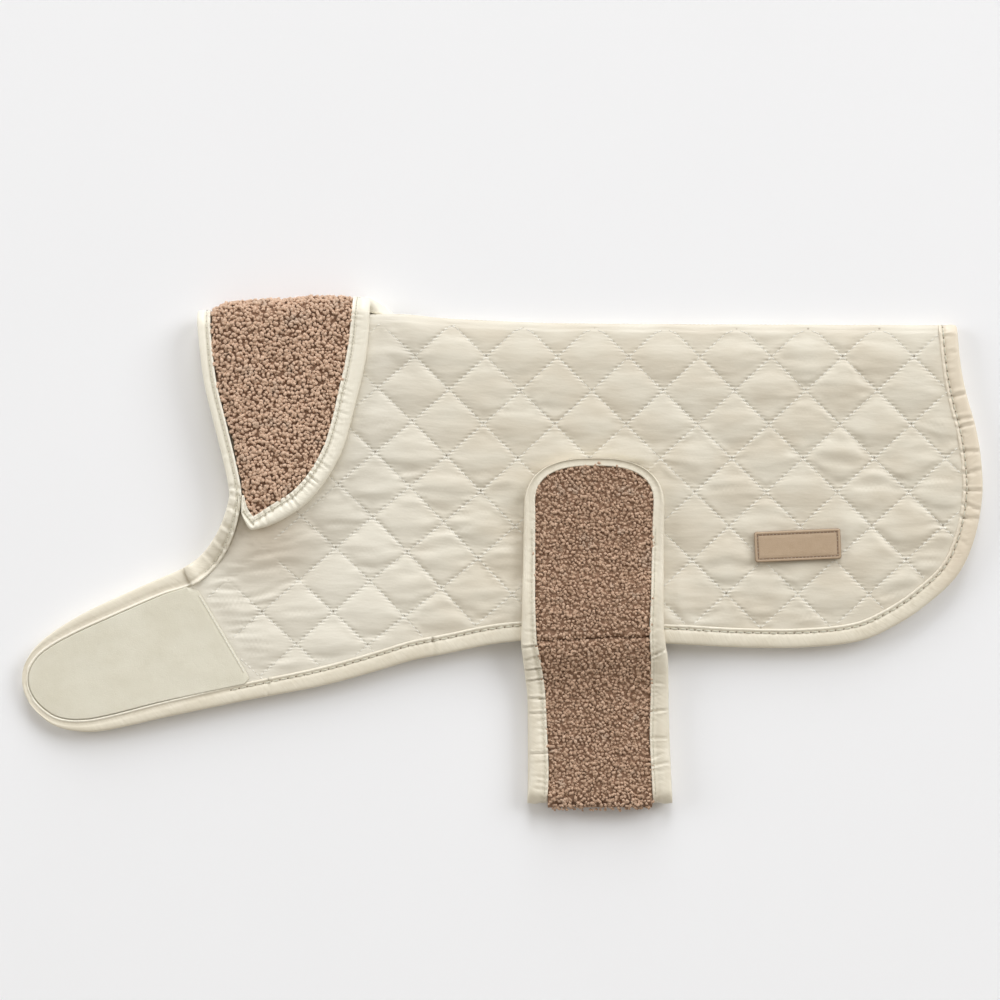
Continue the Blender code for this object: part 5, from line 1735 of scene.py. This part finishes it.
def quiltSeams():
    rows = []
    aSide = 2 * nylonLook["stitchesASide"]
    firstSeam, lastSeam = quilting["seams"]
    steady = np.arange((firstSeam + 1) * aSide, (lastSeam - 1) * aSide) * (1.0 / aSide)
    for whole in range(firstSeam, lastSeam):
        for flip in (False, True):
            still = np.full(len(steady), float(whole))
            flat = quiltPoint(steady, still) if flip else quiltPoint(still, steady)
            places = np.column_stack([flat[:, 0], body.unrolled(flat)])
            keep = (flat[:, 1] > 5.0) & isInside(flat, shellOutline) & (distanceToLine(flat, shellOutline) > 2.0)
            keep &= np.linalg.norm(places - quilting["throatCentre"], axis=1) > quilting["unsewn"]
            if not keep.any():
                continue
            for outline, at, margin in ((collarFootprint, places, -2.0), (panelEdge, flat, 1.0),
                                        (strapFootprint(strapCut["pressTop"] - 6.0, 200.0, 0.0), places, -4.0),
                                        (labelPlaces, places, 0.5)):
                distance = distanceToLine(at, outline)
                keep &= np.where(isInside(at, outline), -distance, distance) > margin
            starts = np.where(keep & ~np.roll(keep, 1))[0]
            ends = np.where(keep & ~np.roll(keep, -1))[0]
            for start, end in zip(starts, ends):
                part = flat[start + start % 2:end + 1]      # a hole stands at every crossing
                if len(part) > quilting["shortestRow"]:
                    rows.append(seamRow(body, part, shellOuter(part) + quilting["stitchLift"]))
    return rows


def bindingSeam(ground, path, normals, spans, sizes, high, keep):
    flat = evenly((path + normals * (spans - sizes["stitchBack"])[:, None])[keep], sizes["stitchPitch"])
    return seamRow(ground, flat, high(flat) + sizes["stitchSunk"] + 0.15)


def bodySeam(chosen, sizes, high):
    rows = bodyEdge[chosen]
    sewn = (rows[:, 1] > -4.0) & (lengthAlong(rows[:, :2]) > sizes["sewnFrom"])
    return [bindingSeam(body, rows[:, :2], bodyNormals[chosen], rows[:, 2] + rows[:, 3], sizes, high, sewn)]


def collarSeamRow():
    return [bindingSeam(collarFold, collarPath, collarNormals, collarWidths, collarBinding,
                        levelAt(collarCut["bindingFace"]), collarPath[:, 1] > -6.0)]


def strapSeams():
    sewn = (strapPath[:, 1] > strap.foldEnd) & (strapPath[:, 1] < frontRun(strapBinding["sewnTo"]))
    return [bindingSeam(strap, strapPath, strapNormals, strapWidths, strapBinding, strapHigh,
                        sewn & (np.sign(strapPath[:, 0] - strapMiddle) == side)) for side in (-1.0, 1.0)]


panelSewing = {"stitchPitch": 2.4, "stitchLength": 2.2, "stitchThickness": 0.42, "holeSize": 0.25, "lift": 0.15,
               "inset": 1.1}
labelSewing = {"stitchPitch": 2.1, "stitchLength": 1.5, "stitchThickness": 0.4, "holeSize": 0.5, "lift": -0.2,
               "inset": 1.95, "corner": 0.5}


def levelSeam(flat, cut, sizes):
    return [seamRow(body, flat, np.full(len(flat), cut["high"] + sizes["lift"]))]


def panelSeam():
    return levelSeam(evenly(panelAcross[2:-2] - (panelSewing["inset"], 0.0), panelSewing["stitchPitch"]), panelCut,
                     panelSewing)


def labelSeam():
    size = tuple(side - 2 * labelSewing["inset"] for side in labelCut["size"])
    ring = roundedRectangle(labelCentre, size, labelCut["tilt"], labelSewing["corner"], 2)
    ring = evenly(np.vstack([ring, ring[:1]]), labelSewing["stitchPitch"])
    return levelSeam(np.column_stack([ring[:, 0], body.runAt(ring[:, 0], ring[:, 1])]), labelCut, labelSewing)


def sew(name, rows, sizes, thread, holes):
    values = {"Length": sizes["stitchLength"] * mm, "Thickness": sizes["stitchThickness"] * mm,
              "Hole": sizes["holeSize"] * mm, "Material": finish[thread], "Hole material": finish[holes]}
    return grow(name, rowCarrier(name, rows), stitches, values)


edgeRows = np.arange(nearThroat, farThroat + 1)
quiltThread, edgeThread, neckThread, collarThread, strapThread, panelThread, labelThread = (sew(*row) for row in (
    ("quiltStitches", quiltSeams(), quilting, "thread", "softHole"),
    ("edgeStitches", bodySeam(edgeRows, edgeBinding, edgeHigh), edgeBinding, "softThread", "needleHole"),
    ("neckStitches", bodySeam(neckRows(), neckBinding, neckHigh), neckBinding, "softThread", "softHole"),
    ("collarStitches", collarSeamRow(), collarBinding, "softThread", "softHole"),
    ("strapStitches", strapSeams(), strapBinding, "softThread", "softHole"),
    ("panelStitches", panelSeam(), panelSewing, "thread", "softHole"),
    ("labelStitches", labelSeam(), labelSewing, "brownThread", "softHole"),
))
print("sewing made:", len(quiltThread.data.polygons), "faces of quilting stitches")


# Floor, light and camera.

studio = {
    "floorSize": 6.0,
    "floorColour": (0.912, 0.909, 0.912),
    "floorDarker": 0.985,     # share of the light left where it is darkest
    "floorGrain": 0.01,
    "skyColour": (1.0, 0.94, 0.845),
    "skyStrength": 0.392,
    # lights: distance, turn from +X in degrees, rise in degrees, size, power, colour
    "window": (12.0, 88.0, 21.0, 6.5, 575.0, (0.955, 0.99, 1.06)),
    "upperWindow": (12.0, 88.0, 42.0, 6.0, 240.0, (0.955, 0.99, 1.06)),
    "key": (12.0, 32.0, 33.0, 7.6, 684.0, (0.965, 1.0, 1.05)),
    "leftFill": (12.0, 165.0, 24.0, 6.5, 432.0, (0.965, 1.0, 1.05)),
    "cameraHeight": 2.2,
    "viewWidth": 0.58,        # what the camera sees across, at the coat's own height
    "viewCentre": (-0.0014, 0.0309),
    "coatHeight": 0.009,
}


def addLight(name):
    distance, turn, rise, size, power, colour = studio[name]
    light = bpy.data.lights.new(name, "AREA")
    light.shape = "DISK"
    light.size = size
    light.energy = power
    light.color = colour
    lamp = bpy.data.objects.new(name, light)
    level = distance * math.cos(math.radians(rise))
    lamp.location = (level * math.cos(math.radians(turn)), level * math.sin(math.radians(turn)),
                     distance * math.sin(math.radians(rise)))
    lamp.rotation_euler = (-lamp.location).to_track_quat("-Z", "Y").to_euler()
    scene.collection.objects.link(lamp)


def makeStudio():
    half = studio["floorSize"] / 2
    mesh = bpy.data.meshes.new("floor")
    mesh.from_pydata([(-half, -half, 0), (half, -half, 0), (half, half, 0), (-half, half, 0)], [], [(0, 1, 2, 3)])
    floor = bpy.data.objects.new("floor", mesh)
    scene.collection.objects.link(floor)
    material, tree = newFinish("paleFloor")
    grain = tree.noise(objectPlace(tree), studio["floorGrain"])
    base = tree.colour(grain, studio["floorColour"], tuple(studio["floorDarker"] * c for c in studio["floorColour"]))
    mesh.materials.append(setFinish(material, tree, None,
                                    {"Base Color": base, "Roughness": 0.9, "Specular IOR Level": 0.1}))
    floor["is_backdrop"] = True

    world = bpy.data.worlds.new("studio")
    world.use_nodes = True
    sky = world.node_tree.nodes["Background"]
    sky.inputs["Color"].default_value = opaque(studio["skyColour"])
    sky.inputs["Strength"].default_value = studio["skyStrength"]
    scene.world = world

    for name in ("window", "upperWindow", "key", "leftFill"):
        addLight(name)

    lens = bpy.data.cameras.new("camera")
    distance = studio["cameraHeight"] - studio["coatHeight"]
    lens.lens = lens.sensor_width * distance / studio["viewWidth"]
    camera = bpy.data.objects.new("camera", lens)
    camera.location = (*studio["viewCentre"], studio["cameraHeight"])
    scene.collection.objects.link(camera)
    scene.camera = camera
    scene.view_settings.view_transform = "Standard"


makeStudio()
print("studio made")


# What each piece stands for and rides on.

def flatSides(outline):  # length and width of the box round a flat pattern, and its area, in metres
    across, up = (outline.max(axis=0) - outline.min(axis=0)) * mm
    x, y = outline.T * mm
    area = abs(np.sum(x * np.roll(y, -1) - np.roll(x, -1) * y)) / 2
    return (float(across), float(up)), float(area)


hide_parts("quilted_shell")
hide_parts("neck_binding")
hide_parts("edge_binding")
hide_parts("collar")
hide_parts("collar_binding")
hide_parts("chest_panel")
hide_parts("belly_strap")
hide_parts("strap_binding")
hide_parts("label_patch")

slots = {
    "quilted_nylon": (shell, quiltThread, panelThread),
    "satin_binding": (neckStrip, edgeStrip, collarStrip, strapStrip,
                      neckThread, edgeThread, collarThread, strapThread),
    "teddy_fleece": (collar, collarCurls, strapPiece, lowerCurls, upperCurls),
    "hook_and_loop": (panel,),
    "leatherette": (label, labelThread),
}
for name, pieces in slots.items():
    for piece in pieces:
        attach(piece, "root")

bodyFlat, bodyArea = flatSides(bodyEdge[:, :2])
collarFlat, collarArea = flatSides(np.vstack([collarPath, collarSeam]))
strapFlat, strapArea = flatSides(strapPath)
print("flat cuts:", bodyFlat, bodyArea, collarFlat, collarArea, strapFlat, strapArea)

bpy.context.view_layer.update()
counts = {piece.name: sum(len(polygon.vertices) - 2 for polygon in piece.data.polygons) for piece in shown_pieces()}
print("triangles:", counts, sum(counts.values()))
